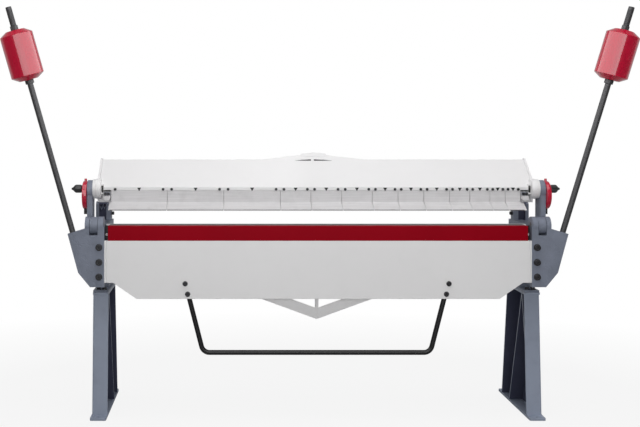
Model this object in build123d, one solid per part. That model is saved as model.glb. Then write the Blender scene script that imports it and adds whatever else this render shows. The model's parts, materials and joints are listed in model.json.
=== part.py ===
"""Manual sheet metal bending machine with a segmented clamping beam.

Millimetres, X to the right, Y to the back, Z up. The origin is on the floor, in the
middle of the four anchor holes. Outlines are written from the hinge line of the
bending leaf: so far behind it and so far above it.
"""
from build123d import *

import os
from math import atan, cos, degrees, radians, sin, tan

# Main lines of the machine
HINGE_HEIGHT = 1180.0
HINGE_BEHIND_BASE = 42.0
WORKING_LENGTH = 2540.0
SIDE_GAP = 6.0
RUNNING_GAP = 2.0
PIN_CLEARANCE = 0.1

# Stands
STAND_UNDER_BED = 12.0
STAND_WIDTH = 95.0
STAND_PLATE = 10.0
STAND_FOLD = 14.0
STAND_TOP_FRONT = 71.0
STAND_TOP_BACK = 448.0
STAND_FOOT_FRONT = 21.0
STAND_FOOT_BACK = 581.0
STAND_TOP_PLATE = 14.0
TOP_PLATE_LIP = 8.0
BASE_PLATE = 15.0
BASE_LENGTH = 715.0
BASE_WIDTH = 98.0
BASE_CORNER = 12.0
ANCHOR_INSET = 30.0
ANCHOR_HOLE = 18.0
BRACE_PLATE = 10.0
BRACE_INSET = 2.0
BRACE_TOP = 129.0
BRACE_FOOT = 408.0
BRACE_FRONT_HEIGHT = 461.0

# Bed
BED_PAST_FINGERS = 23.0
BED_DEPTH = 110.0
BED_HEIGHT = 300.0
BED_WALL = 12.0
BED_END_PLATE = 15.0
LEAF_GAP = 5.0
RAIL_DEPTH = 70.0
RAIL_THICKNESS = 15.0
BED_TRUSS_APEX = 579.0
BED_TRUSS_WIDTH = 61.0
BED_TRUSS_PLATE = 15.0
BED_TRUSS_SLOPE = 20.0
BED_TRUSS_BACK = 55.0
SCREW_BODY = 41.0
SCREW_NECK = 22.0
SCREW_NECK_LENGTH = 70.0

# Side frames
WEB_THICKNESS = 71.0
WEB_FRONT = 62.0
WEB_TOP = 2.0
FOOT_DROP = 420.0
FOOT_CORNER = 58.0
FOOT_FRONT = 192.0
FOOT_BACK = 440.0
FOOT_FLANGE = 12.0
FOOT_FLANGE_FRONT = 76.0
NECK_THICKNESS = 28.0
BOSS_THICKNESS = 47.0
BOSS_PROUD = 17.0
BOSS_RADIUS = 51.0
HINGE_PIN = 40.0
PIN_CHAMFER = 2.0
POST_BACK = 458.0
POST_DEPTH = 95.0
POST_TOP = 118.0
POST_BEVEL = 16.0
POST_SUNK = 48.0
POST_PROUD = 33.0
POST_FOOT = -150.0
POST_RIB = 22.0
POST_RIM = 14.0
POCKET_DEPTH = 30.0
POCKET_FOOT = -20.0
LUG_LENGTH = 16.0
LUG_DEPTH = 70.0
LUG_TOP = 57.0
FOOT_BOLT = 26.0
FOOT_BOLT_HEIGHT = 14.0
FOOT_BOLT_BACK = 112.0
FOOT_BOLT_SPACING = 36.0

# Clamping beam, drawn raised
FINGER_LIFT = 88.0
CLAMP_TRAVEL = 83.0
NOSE_BACK = 18.0
NOSE_LAND = 4.5
FACE_BACK = 108.0
FACE_LIFT = 134.0
STRIP_LIFT = 206.0
STRIP_HEIGHT = 22.0
RAIL_BACK = 148.0
BEAM_RAIL = 40.0
BEAM_RAIL_LIFT = 130.0
PANEL_TOP_BACK = 308.0
PANEL_TOP_LIFT = 394.0
PANEL_PLATE = 12.0
FLANGE_BACK = 258.0
BEAM_PAST_BED = 52.0
BEAM_END_PLATE = 13.0
END_PLATE_PROUD = 9.0
WIDE_FINGERS = 3
SECOND_FINGER = 190.0
THIRD_FINGER = 160.0
FOURTH_FINGER = 125.0
FIFTH_FINGER = 95.0
NARROW_FINGER_COUNTS = (3, 3, 2, 2)
FINGER_JOINT = 0.8
BEAM_TRUSS_RISE = 72.0
BEAM_TRUSS_WIDTH = 55.0
BEAM_TRUSS_PLATE = 12.0
BEAM_TRUSS_SLOPE = 10.2
BEAM_TRUSS_INSET = 165.0
BEAM_SCREW = 20.0

# Trunnions, clamp arms and cams
TRUNNION_BACK = 118.0
TRUNNION_LIFT = 216.0
TRUNNION_DIAMETER = 120.0
TRUNNION_SUNK = 27.0
END_BLOCK_LENGTH = 50.0
END_BLOCK_DEPTH = 72.0
END_BLOCK_HEIGHT = 62.0
END_BLOCK_ROUND = 18.0
END_BLOCK_STEP = 24.0
END_BLOCK_STEP_HEIGHT = 26.0
AXLE = 36.0
ARM_THICKNESS = 32.0
ARM_GAP = 16.0
ARM_WIDTH = 110.0
ARM_HEAD = 126.0
ARM_HEAD_DROP = 9.0
ARM_FOOT = -250.0
ARM_HUB = 66.0
ARM_HUB_HEIGHT = 1.5
GUIDE_PIN = 30.0
GUIDE_DROP = -60.0
GUIDE_SLIDE_GAP = 0.3
CAM_GAP = 0.5
CAM_THICKNESS = 27.0
CAM_DIAMETER = 172.0
CAM_OFFSET = 38.0
CAM_CHAMFER = 3.0
CAM_PEG = 16.0
CAM_PEG_HEIGHT = 31.0
CAM_STOP = 20.0
CAM_STOP_HEIGHT = 33.0
KNOB_DIAMETER = 48.0
KNOB_LOBES = 7
KNOB_LENGTH = 54.0
KNOB_TIP = 20.0
KNOB_NECK = 26.0
KNOB_NECK_LENGTH = 8.0

# Bending leaf
LEAF_FRONT = -50.0
BAR_FRONT = -48.0
BAR_HEIGHT = 90.0
APRON_PLATE = 10.0
APRON_SIDE_DROP = -344.0
APRON_DROP = -441.0
APRON_CHAMFER_INSET = 55.0
APRON_FOOT_INSET = 196.0
APRON_SEAM = 6.5
APRON_SEAM_INSET = 8.5
APRON_SEAM_DEPTH = 6.0
EAR_RADIUS = 53.0
EAR_SETBACK = 6.0
INNER_EAR = 33.0
OUTER_EAR = 27.0
CASTING_FOOT = -370.0
CASTING_FOOT_WIDTH = 85.0
CASTING_WAIST_WIDTH = 157.0
CASTING_WAIST_DROP = -283.0
CASTING_WIDTH = 221.0
CASTING_TIP_DROP = -48.0
CASTING_SHOULDER = 16.6
CASTING_BOLT = 40.0
CASTING_BOLT_HEIGHT = 20.0
CASTING_BOLT_INSET = 31.0
CASTING_BOLT_DROPS = (-130.0, -220.0, -308.0)
BOLT_SOCKET = 17.0
ROD_DIAMETER = 35.0
ROD_INSET = 28.0
ROD_LEAN = 14.9
ROD_FORWARD_LEAN = 6.4
ROD_LENGTH = 1420.0
WEIGHT_ALONG_ROD = 1108.0
WEIGHT_DIAMETER = 196.0
WEIGHT_LENGTH = 250.0
WEIGHT_CONE = 27.0
WEIGHT_END_DIAMETER = 110.0
WEIGHT_WALL = 6.0
NUT_DIAMETER = 50.0
NUT_LENGTH = 28.0
COLLAR_DIAMETER = 52.0
COLLAR_LENGTH = 24.0
HANDLE_BAR = 28.0
HANDLE_BOLT = 30.0
HANDLE_BOLT_HEIGHT = 12.0
HANDLE_BOLT_INSETS = (496.0, 511.0)
HANDLE_BOLT_DROPS = (-349.0, -412.0)
HANDLE_BEND_INSET = 600.0
HANDLE_DROP = -762.0
HANDLE_RADIUS = 48.0
HANDLE_END = 30.0

# Places that follow from the sizes above
HINGE_AHEAD = BASE_LENGTH / 2 - HINGE_BEHIND_BASE
HALF_WORKING = WORKING_LENGTH / 2
STAND_HEIGHT = HINGE_HEIGHT - FOOT_DROP
NARROW_FINGERS = (SECOND_FINGER, THIRD_FINGER, FOURTH_FINGER, FIFTH_FINGER)
NARROW_ROW = sum(w * n for w, n in zip(NARROW_FINGERS, NARROW_FINGER_COUNTS))
WIDE_FINGER = (WORKING_LENGTH - NARROW_ROW) / WIDE_FINGERS
BED_HALF_LENGTH = HALF_WORKING + BED_PAST_FINGERS
STAND_INSIDE = BED_HALF_LENGTH - STAND_UNDER_BED
STAND_OUTSIDE = STAND_INSIDE + STAND_WIDTH
ANCHOR_SIDE = STAND_INSIDE + RUNNING_GAP + BASE_WIDTH / 2
BED_FRONT = LEAF_GAP / 2
LEAF_BACK = -LEAF_GAP / 2
LEAF_MIDDLE = (LEAF_FRONT + LEAF_BACK) / 2
WEB_OUTSIDE = BED_HALF_LENGTH + WEB_THICKNESS
NECK_INSIDE = WEB_OUTSIDE - NECK_THICKNESS
BOSS_OUTSIDE = WEB_OUTSIDE + BOSS_PROUD
BOSS_INSIDE = BOSS_OUTSIDE - BOSS_THICKNESS
BEAM_HALF_LENGTH = BED_HALF_LENGTH + BEAM_PAST_BED
BEAM_TRUSS_HALF_LENGTH = BEAM_HALF_LENGTH - BEAM_TRUSS_INSET
TRUNNION_INSIDE = BEAM_HALF_LENGTH - TRUNNION_SUNK
EAR_INSIDE = BED_HALF_LENGTH + SIDE_GAP
CASTING_INSIDE = EAR_INSIDE - EAR_SETBACK
CASTING_TIP = CASTING_INSIDE + CASTING_WIDTH
ROD_FOOT = CASTING_TIP - ROD_INSET
APRON_HALF_LENGTH = CASTING_INSIDE
HANDLE_BOLT_SIDES = [APRON_HALF_LENGTH - inset for inset in HANDLE_BOLT_INSETS]
HANDLE_BOLTS = list(zip(HANDLE_BOLT_SIDES, HANDLE_BOLT_DROPS))
HANDLE_BEND = APRON_HALF_LENGTH - HANDLE_BEND_INSET
OUTER_EAR_INSIDE = BOSS_OUTSIDE + RUNNING_GAP
OUTER_EAR_OUTSIDE = OUTER_EAR_INSIDE + OUTER_EAR
ARM_INSIDE = WEB_OUTSIDE + ARM_GAP
ARM_OUTSIDE = ARM_INSIDE + ARM_THICKNESS
CAM_INSIDE = ARM_OUTSIDE + ARM_HUB_HEIGHT + CAM_GAP
CAM_OUTSIDE = CAM_INSIDE + CAM_THICKNESS
PANEL_FOOT_LIFT = STRIP_LIFT + STRIP_HEIGHT
PANEL_RUN = PANEL_TOP_BACK - FACE_BACK
PANEL_RISE = PANEL_TOP_LIFT - PANEL_FOOT_LIFT
PANEL_ANGLE = degrees(atan(PANEL_RISE / PANEL_RUN))


def depth(behind_hinge):
    """Return the Y of a point so far behind the hinge line."""
    return behind_hinge - HINGE_AHEAD


def height(above_hinge):
    """Return the Z of a point so far above the hinge line."""
    return HINGE_HEIGHT + above_hinge


def outline_face(points, corner=0.0):
    """Return a face round the points, with all its corners rounded alike."""
    face = make_face(Polyline(*points, close=True))
    return fillet(face.vertices(), corner) if corner else face


def side_plate(points, start, end, corner=0.0):
    """Extrude an outline seen from the side, from X = start to X = end."""
    placed = [(depth(back), height(lift)) for back, lift in points]
    return extrude(Plane.YZ.offset(start) * outline_face(placed, corner), end - start)


def front_plate(points, front, back, corner=0.0):
    """Extrude an outline seen from the front, between two depths behind the hinge."""
    placed = [(side, height(lift)) for side, lift in points]
    plane = Plane.XZ.offset(-depth(back))
    return extrude(plane * outline_face(placed, corner), back - front)


def side_shaft(diameter, start, end, back=0.0, lift=0.0):
    """Return a round bar along X, its axis so far behind and above the hinge."""
    plane = Plane.YZ.offset(start) * Pos(depth(back), height(lift))
    return extrude(plane * Circle(diameter / 2), end - start)


def other_side(shape):
    """Return the left hand piece for a right hand one."""
    return mirror(shape, about=Plane.YZ)


def stand_edges(inset):
    """Return the four corners of a stand's side, its sloping edges moved inwards."""
    foot = BASE_PLATE - HINGE_HEIGHT
    top = STAND_HEIGHT - STAND_TOP_PLATE - HINGE_HEIGHT
    return [
        (STAND_FOOT_FRONT + inset, foot),
        (STAND_FOOT_BACK - inset, foot),
        (STAND_TOP_BACK - inset, top),
        (STAND_TOP_FRONT + inset, top),
    ]


def base_plate():
    """Return the floor plate of the right stand with its two anchor holes."""
    plate = extrude(RectangleRounded(BASE_WIDTH, BASE_LENGTH, BASE_CORNER), BASE_PLATE)
    reach = BASE_LENGTH / 2 - ANCHOR_INSET
    for end in (-reach, reach):
        plate -= Pos(0, end) * extrude(Circle(ANCHOR_HOLE / 2), BASE_PLATE)
    return Pos(ANCHOR_SIDE, 0) * plate


def stand_shell():
    """Return the folded channel of the right stand, open towards the machine."""
    shell = side_plate(stand_edges(0), STAND_INSIDE, STAND_OUTSIDE)
    folds = shell.faces().sort_by(Axis.X)[-1].edges()
    folds = folds.filter_by(Axis.Y, reverse=True)
    shell = fillet(folds, STAND_FOLD)
    inner = side_plate(stand_edges(STAND_PLATE), STAND_INSIDE, STAND_OUTSIDE - STAND_PLATE)
    return shell - inner


def stand_top_plate():
    """Return the plate that closes the top of the right stand."""
    bottom = STAND_HEIGHT - STAND_TOP_PLATE - HINGE_HEIGHT
    corners = [
        (STAND_TOP_FRONT - TOP_PLATE_LIP, bottom),
        (STAND_TOP_BACK + TOP_PLATE_LIP, bottom),
        (STAND_TOP_BACK + TOP_PLATE_LIP, bottom + STAND_TOP_PLATE),
        (STAND_TOP_FRONT - TOP_PLATE_LIP, bottom + STAND_TOP_PLATE),
    ]
    return side_plate(corners, STAND_INSIDE, STAND_OUTSIDE)


def slanted_strip(start, end, thickness):
    """Return the corners of a straight strip between two points, lengthened past both."""
    run = end[0] - start[0]
    rise = end[1] - start[1]
    length = (run**2 + rise**2) ** 0.5
    along = (run / length, rise / length)
    across = (-along[1] * thickness / 2, along[0] * thickness / 2)
    extra = 6 * thickness
    first = (start[0] - along[0] * extra, start[1] - along[1] * extra)
    last = (end[0] + along[0] * extra, end[1] + along[1] * extra)
    return [
        (first[0] + across[0], first[1] + across[1]),
        (last[0] + across[0], last[1] + across[1]),
        (last[0] - across[0], last[1] - across[1]),
        (first[0] - across[0], first[1] - across[1]),
    ]


def stand_brace():
    """Return the two slanted plates welded inside the right stand."""
    start = STAND_INSIDE + BRACE_INSET
    end = STAND_OUTSIDE - STAND_PLATE
    foot = BASE_PLATE - HINGE_HEIGHT
    top = STAND_HEIGHT - STAND_TOP_PLATE - HINGE_HEIGHT
    share = (BRACE_FRONT_HEIGHT - BASE_PLATE) / (STAND_HEIGHT - STAND_TOP_PLATE - BASE_PLATE)
    front = STAND_FOOT_FRONT + share * (STAND_TOP_FRONT - STAND_FOOT_FRONT) + STAND_PLATE
    long_leg = slanted_strip((BRACE_TOP, top), (BRACE_FOOT, foot), BRACE_PLATE)
    short_leg = slanted_strip(
        (BRACE_TOP, top), (front, BRACE_FRONT_HEIGHT - HINGE_HEIGHT), BRACE_PLATE
    )
    room = side_plate(stand_edges(STAND_PLATE), start, end)
    legs = side_plate(long_leg, start, end) + side_plate(short_leg, start, end)
    pieces = (legs & room).solids()
    return pieces.sort_by(SortBy.VOLUME)[-1]


def frame_post():
    """Return the hollow fronted post that rises at the back of the right side frame."""
    front = POST_BACK - POST_DEPTH
    inside = WEB_OUTSIDE - POST_SUNK
    outside = WEB_OUTSIDE + POST_PROUD
    post = side_plate(
        [
            (front, POST_FOOT + POST_PROUD),
            (front + POST_PROUD, POST_FOOT),
            (POST_BACK - POST_PROUD, POST_FOOT),
            (POST_BACK, POST_TOP),
            (front + POST_BEVEL, POST_TOP),
            (front, POST_TOP - POST_BEVEL),
        ],
        inside,
        outside,
    )
    pocket = side_plate(
        [
            (front, POCKET_FOOT),
            (front + POCKET_DEPTH, POCKET_FOOT),
            (front + POCKET_DEPTH, POST_TOP - POST_RIM),
            (front, POST_TOP - POST_RIM),
        ],
        inside + POST_RIM,
        outside - POST_RIB,
    )
    lug = side_plate(
        [(front, 0.0), (front + LUG_DEPTH, 0.0), (front + LUG_DEPTH, LUG_TOP), (front, LUG_TOP)],
        inside - LUG_LENGTH,
        inside,
    )
    return post - pocket + lug


def side_frame():
    """Return the right side casting that carries the bed, the hinge and the guide."""
    foot = STAND_HEIGHT - HINGE_HEIGHT
    web = side_plate(
        [
            (FOOT_FRONT, foot),
            (FOOT_BACK, foot),
            (POST_BACK, WEB_TOP),
            (WEB_FRONT, WEB_TOP),
            (WEB_FRONT, -BED_HEIGHT),
            (FOOT_FRONT, foot + FOOT_CORNER),
        ],
        BED_HALF_LENGTH,
        WEB_OUTSIDE,
    )
    flange = side_plate(
        [
            (FOOT_FLANGE_FRONT, foot),
            (FOOT_BACK, foot),
            (FOOT_BACK, foot + FOOT_FLANGE),
            (FOOT_FLANGE_FRONT, foot + FOOT_FLANGE),
        ],
        STAND_INSIDE,
        STAND_OUTSIDE,
    )
    neck = side_plate(
        [
            (0.0, BOSS_RADIUS * cos(radians(70.0))),
            (WEB_FRONT, WEB_TOP),
            (WEB_FRONT, -2 * BOSS_RADIUS),
            (BOSS_RADIUS * cos(radians(60.0)), -BOSS_RADIUS * sin(radians(60.0))),
            (0.0, 0.0),
        ],
        NECK_INSIDE,
        WEB_OUTSIDE,
    )
    boss = side_shaft(2 * BOSS_RADIUS, BOSS_INSIDE, BOSS_OUTSIDE)
    frame = web + flange + neck + boss + frame_post()
    bore = HINGE_PIN + 2 * PIN_CLEARANCE
    frame -= side_shaft(bore, BOSS_INSIDE - WEB_FRONT, BOSS_OUTSIDE)
    guide_bore = GUIDE_PIN + 2 * PIN_CLEARANCE
    return frame - side_shaft(guide_bore, BED_HALF_LENGTH, WEB_OUTSIDE, TRUNNION_BACK, GUIDE_DROP)


def hinge_pin():
    """Return the plain pin of the right hinge, flush with the ears of the leaf."""
    pin = side_shaft(HINGE_PIN, EAR_INSIDE, OUTER_EAR_OUTSIDE)
    return chamfer(pin.edges().filter_by(GeomType.CIRCLE), PIN_CHAMFER)


def guide_pin():
    """Return the pin of the right side frame that guides the clamp arm."""
    shank = side_shaft(GUIDE_PIN, BED_HALF_LENGTH, ARM_OUTSIDE + SIDE_GAP, TRUNNION_BACK, GUIDE_DROP)
    head = side_shaft(
        GUIDE_PIN * 1.6,
        ARM_OUTSIDE + SIDE_GAP,
        ARM_OUTSIDE + 2 * SIDE_GAP,
        TRUNNION_BACK,
        GUIDE_DROP,
    )
    return shank + head


def foot_bolts():
    """Return the hexagon heads that hold both side frames to their stands."""
    heads = []
    middle = (BED_HALF_LENGTH + WEB_OUTSIDE) / 2
    bottom = STAND_HEIGHT + FOOT_FLANGE
    for side in (-middle, middle):
        for across in (-FOOT_BOLT_SPACING / 2, FOOT_BOLT_SPACING / 2):
            head = extrude(RegularPolygon(FOOT_BOLT / 2, 6, major_radius=False), FOOT_BOLT_HEIGHT)
            heads.append(Pos(side + across, depth(FOOT_BOLT_BACK), bottom) * head)
    return heads


def bed_beam():
    """Return the closed box beam of the bed, rebated for the steel rail."""
    length = 2 * BED_HALF_LENGTH
    deep = BED_DEPTH - BED_FRONT
    middle = depth((BED_FRONT + BED_DEPTH) / 2)
    outer = Pos(0, middle, height(-BED_HEIGHT / 2)) * Box(length, deep, BED_HEIGHT)
    inner = Pos(0, middle, height(-(BED_HEIGHT + RAIL_THICKNESS) / 2)) * Box(
        length - 2 * BED_END_PLATE,
        deep - 2 * BED_WALL,
        BED_HEIGHT - RAIL_THICKNESS - 2 * BED_WALL,
    )
    rebate = Pos(0, depth(BED_FRONT + RAIL_DEPTH / 2), height(-RAIL_THICKNESS / 2)) * Box(
        length, RAIL_DEPTH, RAIL_THICKNESS
    )
    return outer - inner - rebate


def bed_rail():
    """Return the hardened rail along the front of the bed."""
    middle = depth(BED_FRONT + RAIL_DEPTH / 2)
    rail = Pos(0, middle, height(-RAIL_THICKNESS / 2)) * Box(
        WORKING_LENGTH, RAIL_DEPTH, RAIL_THICKNESS
    )
    return rail


def bed_truss_bar():
    """Return the right flat bar of the tension truss under the bed."""
    slope = tan(radians(BED_TRUSS_SLOPE))
    tall = BED_TRUSS_WIDTH / cos(radians(BED_TRUSS_SLOPE))
    outer = -BED_TRUSS_APEX
    inner = outer + tall
    points = [
        (0.0, outer),
        ((-BED_HEIGHT - outer) / slope, -BED_HEIGHT),
        ((-BED_HEIGHT - inner) / slope, -BED_HEIGHT),
        (0.0, inner),
    ]
    return front_plate(points, BED_TRUSS_BACK - BED_TRUSS_PLATE, BED_TRUSS_BACK)


def truss_screw(body, neck, neck_length, length):
    """Return a stepped adjusting screw along +Z that stands on its narrow neck."""
    profile = Polyline(
        (0, 0),
        (neck / 2, 0),
        (neck / 2, neck_length),
        (body / 2, neck_length + (body - neck) / 2),
        (body / 2, length),
        (0, length),
        close=True,
    )
    return revolve(Plane.XZ * make_face(profile), Axis.Z)


def bed_truss_screw():
    """Return the screw that spreads the bed and its truss."""
    tall = BED_TRUSS_WIDTH / cos(radians(BED_TRUSS_SLOPE))
    foot = -BED_TRUSS_APEX + tall
    screw = truss_screw(SCREW_BODY, SCREW_NECK, SCREW_NECK_LENGTH, -BED_HEIGHT - foot)
    screw = Pos(0, depth(BED_TRUSS_BACK - BED_TRUSS_PLATE / 2), height(foot)) * screw
    return screw - bed_truss_bar() - other_side(bed_truss_bar())


def panel_point(along, behind):
    """Return a point so far above the panel's top edge and so far behind its front."""
    tilt = radians(PANEL_ANGLE)
    back = PANEL_TOP_BACK + along * cos(tilt) + behind * sin(tilt)
    lift = PANEL_TOP_LIFT + along * sin(tilt) - behind * cos(tilt)
    return back, lift


def beam_section():
    """Return the outline of the clamping beam: rail, sloping panel and rear flange."""
    top_back, top_lift = panel_point(0.0, PANEL_PLATE)
    rail_back = RAIL_BACK + BEAM_RAIL
    meet_lift = top_lift - (top_back - rail_back) * PANEL_RISE / PANEL_RUN
    return [
        (FACE_BACK, STRIP_LIFT),
        (FACE_BACK, PANEL_FOOT_LIFT),
        (PANEL_TOP_BACK, PANEL_TOP_LIFT),
        (top_back, top_lift),
        (rail_back, meet_lift),
        (rail_back, BEAM_RAIL_LIFT + PANEL_PLATE),
        (FLANGE_BACK, BEAM_RAIL_LIFT + PANEL_PLATE),
        (FLANGE_BACK, BEAM_RAIL_LIFT),
        (RAIL_BACK, BEAM_RAIL_LIFT),
        (RAIL_BACK, STRIP_LIFT),
    ]


def beam_shell():
    """Return the white clamping beam between its end plates."""
    return side_plate(beam_section(), -BEAM_HALF_LENGTH, BEAM_HALF_LENGTH)


def beam_end():
    """Return the right end plate with its trunnion and the block beside the fingers."""
    outside = BEAM_HALF_LENGTH + BEAM_END_PLATE
    low_front = panel_point(0.0, -END_PLATE_PROUD)
    plate = side_plate(
        [
            (FACE_BACK - END_PLATE_PROUD, STRIP_LIFT),
            (FACE_BACK - END_PLATE_PROUD, PANEL_FOOT_LIFT),
            low_front,
            (low_front[0] + 3 * END_PLATE_PROUD, low_front[1]),
            (low_front[0] + 3 * END_PLATE_PROUD, PANEL_TOP_LIFT - PANEL_RISE / 3),
            (FLANGE_BACK + END_PLATE_PROUD, BEAM_RAIL_LIFT),
            (RAIL_BACK, BEAM_RAIL_LIFT),
            (RAIL_BACK, STRIP_LIFT),
        ],
        BEAM_HALF_LENGTH,
        outside,
    )
    trunnion = side_shaft(
        TRUNNION_DIAMETER, TRUNNION_INSIDE, ARM_INSIDE, TRUNNION_BACK, TRUNNION_LIFT
    )
    block_front = RAIL_BACK - END_BLOCK_DEPTH
    block_foot = STRIP_LIFT - END_BLOCK_HEIGHT
    block = side_plate(
        [
            (block_front, block_foot),
            (RAIL_BACK, block_foot),
            (RAIL_BACK, STRIP_LIFT),
            (block_front + END_BLOCK_STEP, STRIP_LIFT),
            (block_front + END_BLOCK_STEP, block_foot + END_BLOCK_STEP_HEIGHT),
            (block_front, block_foot + END_BLOCK_STEP_HEIGHT),
        ],
        HALF_WORKING + RUNNING_GAP,
        HALF_WORKING + RUNNING_GAP + END_BLOCK_LENGTH,
    )
    lower_edges = block.edges().filter_by(Axis.Y).sort_by(Axis.Z)[:2]
    block = fillet(lower_edges, END_BLOCK_ROUND)
    beam = side_plate(beam_section(), 0, BEAM_HALF_LENGTH)
    return plate + (trunnion + block - beam)


def beam_axle(start, end, clearance=0.0):
    """Return a round bar on the trunnion axis."""
    return side_shaft(AXLE + 2 * clearance, start, end, TRUNNION_BACK, TRUNNION_LIFT)


def truss_plane_plate(points):
    """Extrude an outline of (side, above the panel's top edge) points behind the panel."""
    back, lift = panel_point(0.0, PANEL_PLATE)
    tilt = radians(PANEL_ANGLE)
    plane = Plane(
        origin=(0, depth(back), height(lift)),
        x_dir=(1, 0, 0),
        z_dir=(0, sin(tilt), -cos(tilt)),
    )
    flipped = [(side, -along) for side, along in points]
    return extrude(plane * outline_face(flipped), BEAM_TRUSS_PLATE) - beam_shell()


def beam_truss():
    """Return the flat bars of the tension truss behind the sloping panel."""
    slope = tan(radians(BEAM_TRUSS_SLOPE))
    tall = BEAM_TRUSS_WIDTH / cos(radians(BEAM_TRUSS_SLOPE))
    reach = BEAM_TRUSS_HALF_LENGTH
    drop = reach * slope
    points = [
        (-reach, BEAM_TRUSS_RISE - drop),
        (0.0, BEAM_TRUSS_RISE),
        (reach, BEAM_TRUSS_RISE - drop),
        (reach, BEAM_TRUSS_RISE - drop - tall),
        (0.0, BEAM_TRUSS_RISE - tall),
        (-reach, BEAM_TRUSS_RISE - drop - tall),
    ]
    return truss_plane_plate(points)


def beam_truss_screw():
    """Return the short spreader between the clamping beam and its truss."""
    slope = tan(radians(BEAM_TRUSS_SLOPE))
    half = BEAM_SCREW / 2
    apex = BEAM_TRUSS_RISE - BEAM_TRUSS_WIDTH / cos(radians(BEAM_TRUSS_SLOPE))
    foot = -PANEL_RISE / sin(radians(PANEL_ANGLE))
    points = [
        (-half, apex - half * slope),
        (0.0, apex),
        (half, apex - half * slope),
        (half, foot),
        (-half, foot),
    ]
    pieces = truss_plane_plate(points).solids()
    return pieces.sort_by(SortBy.VOLUME)[-1]


def fingers(first, width, count):
    """Return the clamping fingers of one width, side by side from X = first."""
    section = [
        (NOSE_BACK, FINGER_LIFT),
        (RAIL_BACK, FINGER_LIFT),
        (RAIL_BACK, STRIP_LIFT),
        (FACE_BACK, STRIP_LIFT),
        (FACE_BACK, FACE_LIFT),
        (NOSE_BACK, FINGER_LIFT + NOSE_LAND),
    ]
    row = []
    for number in range(count):
        start = first + number * width
        row.append(side_plate(section, start + FINGER_JOINT / 2, start + width - FINGER_JOINT / 2))
    return row


def clamp_arm():
    """Return the right arm that hangs from the trunnion and slides on its guide pin."""
    half = ARM_WIDTH / 2
    arm = side_plate(
        [
            (TRUNNION_BACK - half, ARM_FOOT),
            (TRUNNION_BACK + half, ARM_FOOT),
            (TRUNNION_BACK + half, TRUNNION_LIFT - ARM_HEAD_DROP),
            (TRUNNION_BACK - half, TRUNNION_LIFT - ARM_HEAD_DROP),
        ],
        ARM_INSIDE,
        ARM_OUTSIDE,
    )
    head_lift = TRUNNION_LIFT - ARM_HEAD_DROP
    arm += side_shaft(ARM_HEAD, ARM_INSIDE, ARM_OUTSIDE, TRUNNION_BACK, head_lift)
    hub_end = ARM_OUTSIDE + ARM_HUB_HEIGHT
    arm += side_shaft(ARM_HUB, ARM_OUTSIDE, hub_end, TRUNNION_BACK, TRUNNION_LIFT)
    slot_plane = Plane.YZ.offset(ARM_INSIDE)
    slot_middle = GUIDE_DROP + CLAMP_TRAVEL / 2
    slot_length = CLAMP_TRAVEL + GUIDE_PIN + 2 * SIDE_GAP
    slot = SlotOverall(slot_length, GUIDE_PIN + 2 * GUIDE_SLIDE_GAP, 90)
    slot_place = Pos(depth(TRUNNION_BACK), height(slot_middle))
    arm -= extrude(slot_plane * (slot_place * slot), ARM_THICKNESS)
    arm += beam_axle(hub_end, CAM_OUTSIDE - CAM_GAP)
    return arm


def cam_disc():
    """Return the right eccentric disc with its peg."""
    lift = TRUNNION_LIFT - CAM_OFFSET
    disc = side_shaft(CAM_DIAMETER, CAM_INSIDE, CAM_OUTSIDE, TRUNNION_BACK, lift)
    disc = chamfer(disc.edges().filter_by(GeomType.CIRCLE), CAM_CHAMFER)
    peg_foot = lift + CAM_DIAMETER / 2 - CAM_PEG_HEIGHT / 2
    peg = Pos((CAM_INSIDE + CAM_OUTSIDE) / 2, depth(TRUNNION_BACK), height(peg_foot)) * extrude(
        Circle(CAM_PEG / 2), CAM_PEG_HEIGHT
    )
    stop = Pos((CAM_INSIDE + CAM_OUTSIDE) / 2, depth(TRUNNION_BACK), height(lift)) * Box(
        CAM_STOP, CAM_STOP, CAM_DIAMETER / 2 + CAM_STOP_HEIGHT, align=(Align.CENTER, Align.CENTER, Align.MAX)
    )
    return disc + peg + stop - beam_axle(CAM_INSIDE, CAM_OUTSIDE, PIN_CLEARANCE)


def star_knob():
    """Return the right lobed knob on the end of the trunnion."""
    lobe = KNOB_DIAMETER / 5
    ring = KNOB_DIAMETER / 2 - lobe
    star = Circle(ring + lobe / 3)
    for number in range(KNOB_LOBES):
        turn = radians(360.0 * number / KNOB_LOBES)
        star += Pos(ring * cos(turn), ring * sin(turn)) * Circle(lobe)
    grip_start = CAM_OUTSIDE + KNOB_NECK_LENGTH
    grip_length = KNOB_LENGTH - KNOB_NECK_LENGTH
    centre = Pos(depth(TRUNNION_BACK), height(TRUNNION_LIFT))
    grip = extrude(Plane.YZ.offset(grip_start) * (centre * star), grip_length)
    grip_end = grip_start + grip_length
    tip_base = Plane.YZ.offset(grip_end) * (centre * Circle(ring + lobe / 3))
    tip = extrude(tip_base, KNOB_TIP, taper=30)
    neck = side_shaft(KNOB_NECK, CAM_OUTSIDE, grip_start, TRUNNION_BACK, TRUNNION_LIFT)
    return neck + grip + tip


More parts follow.
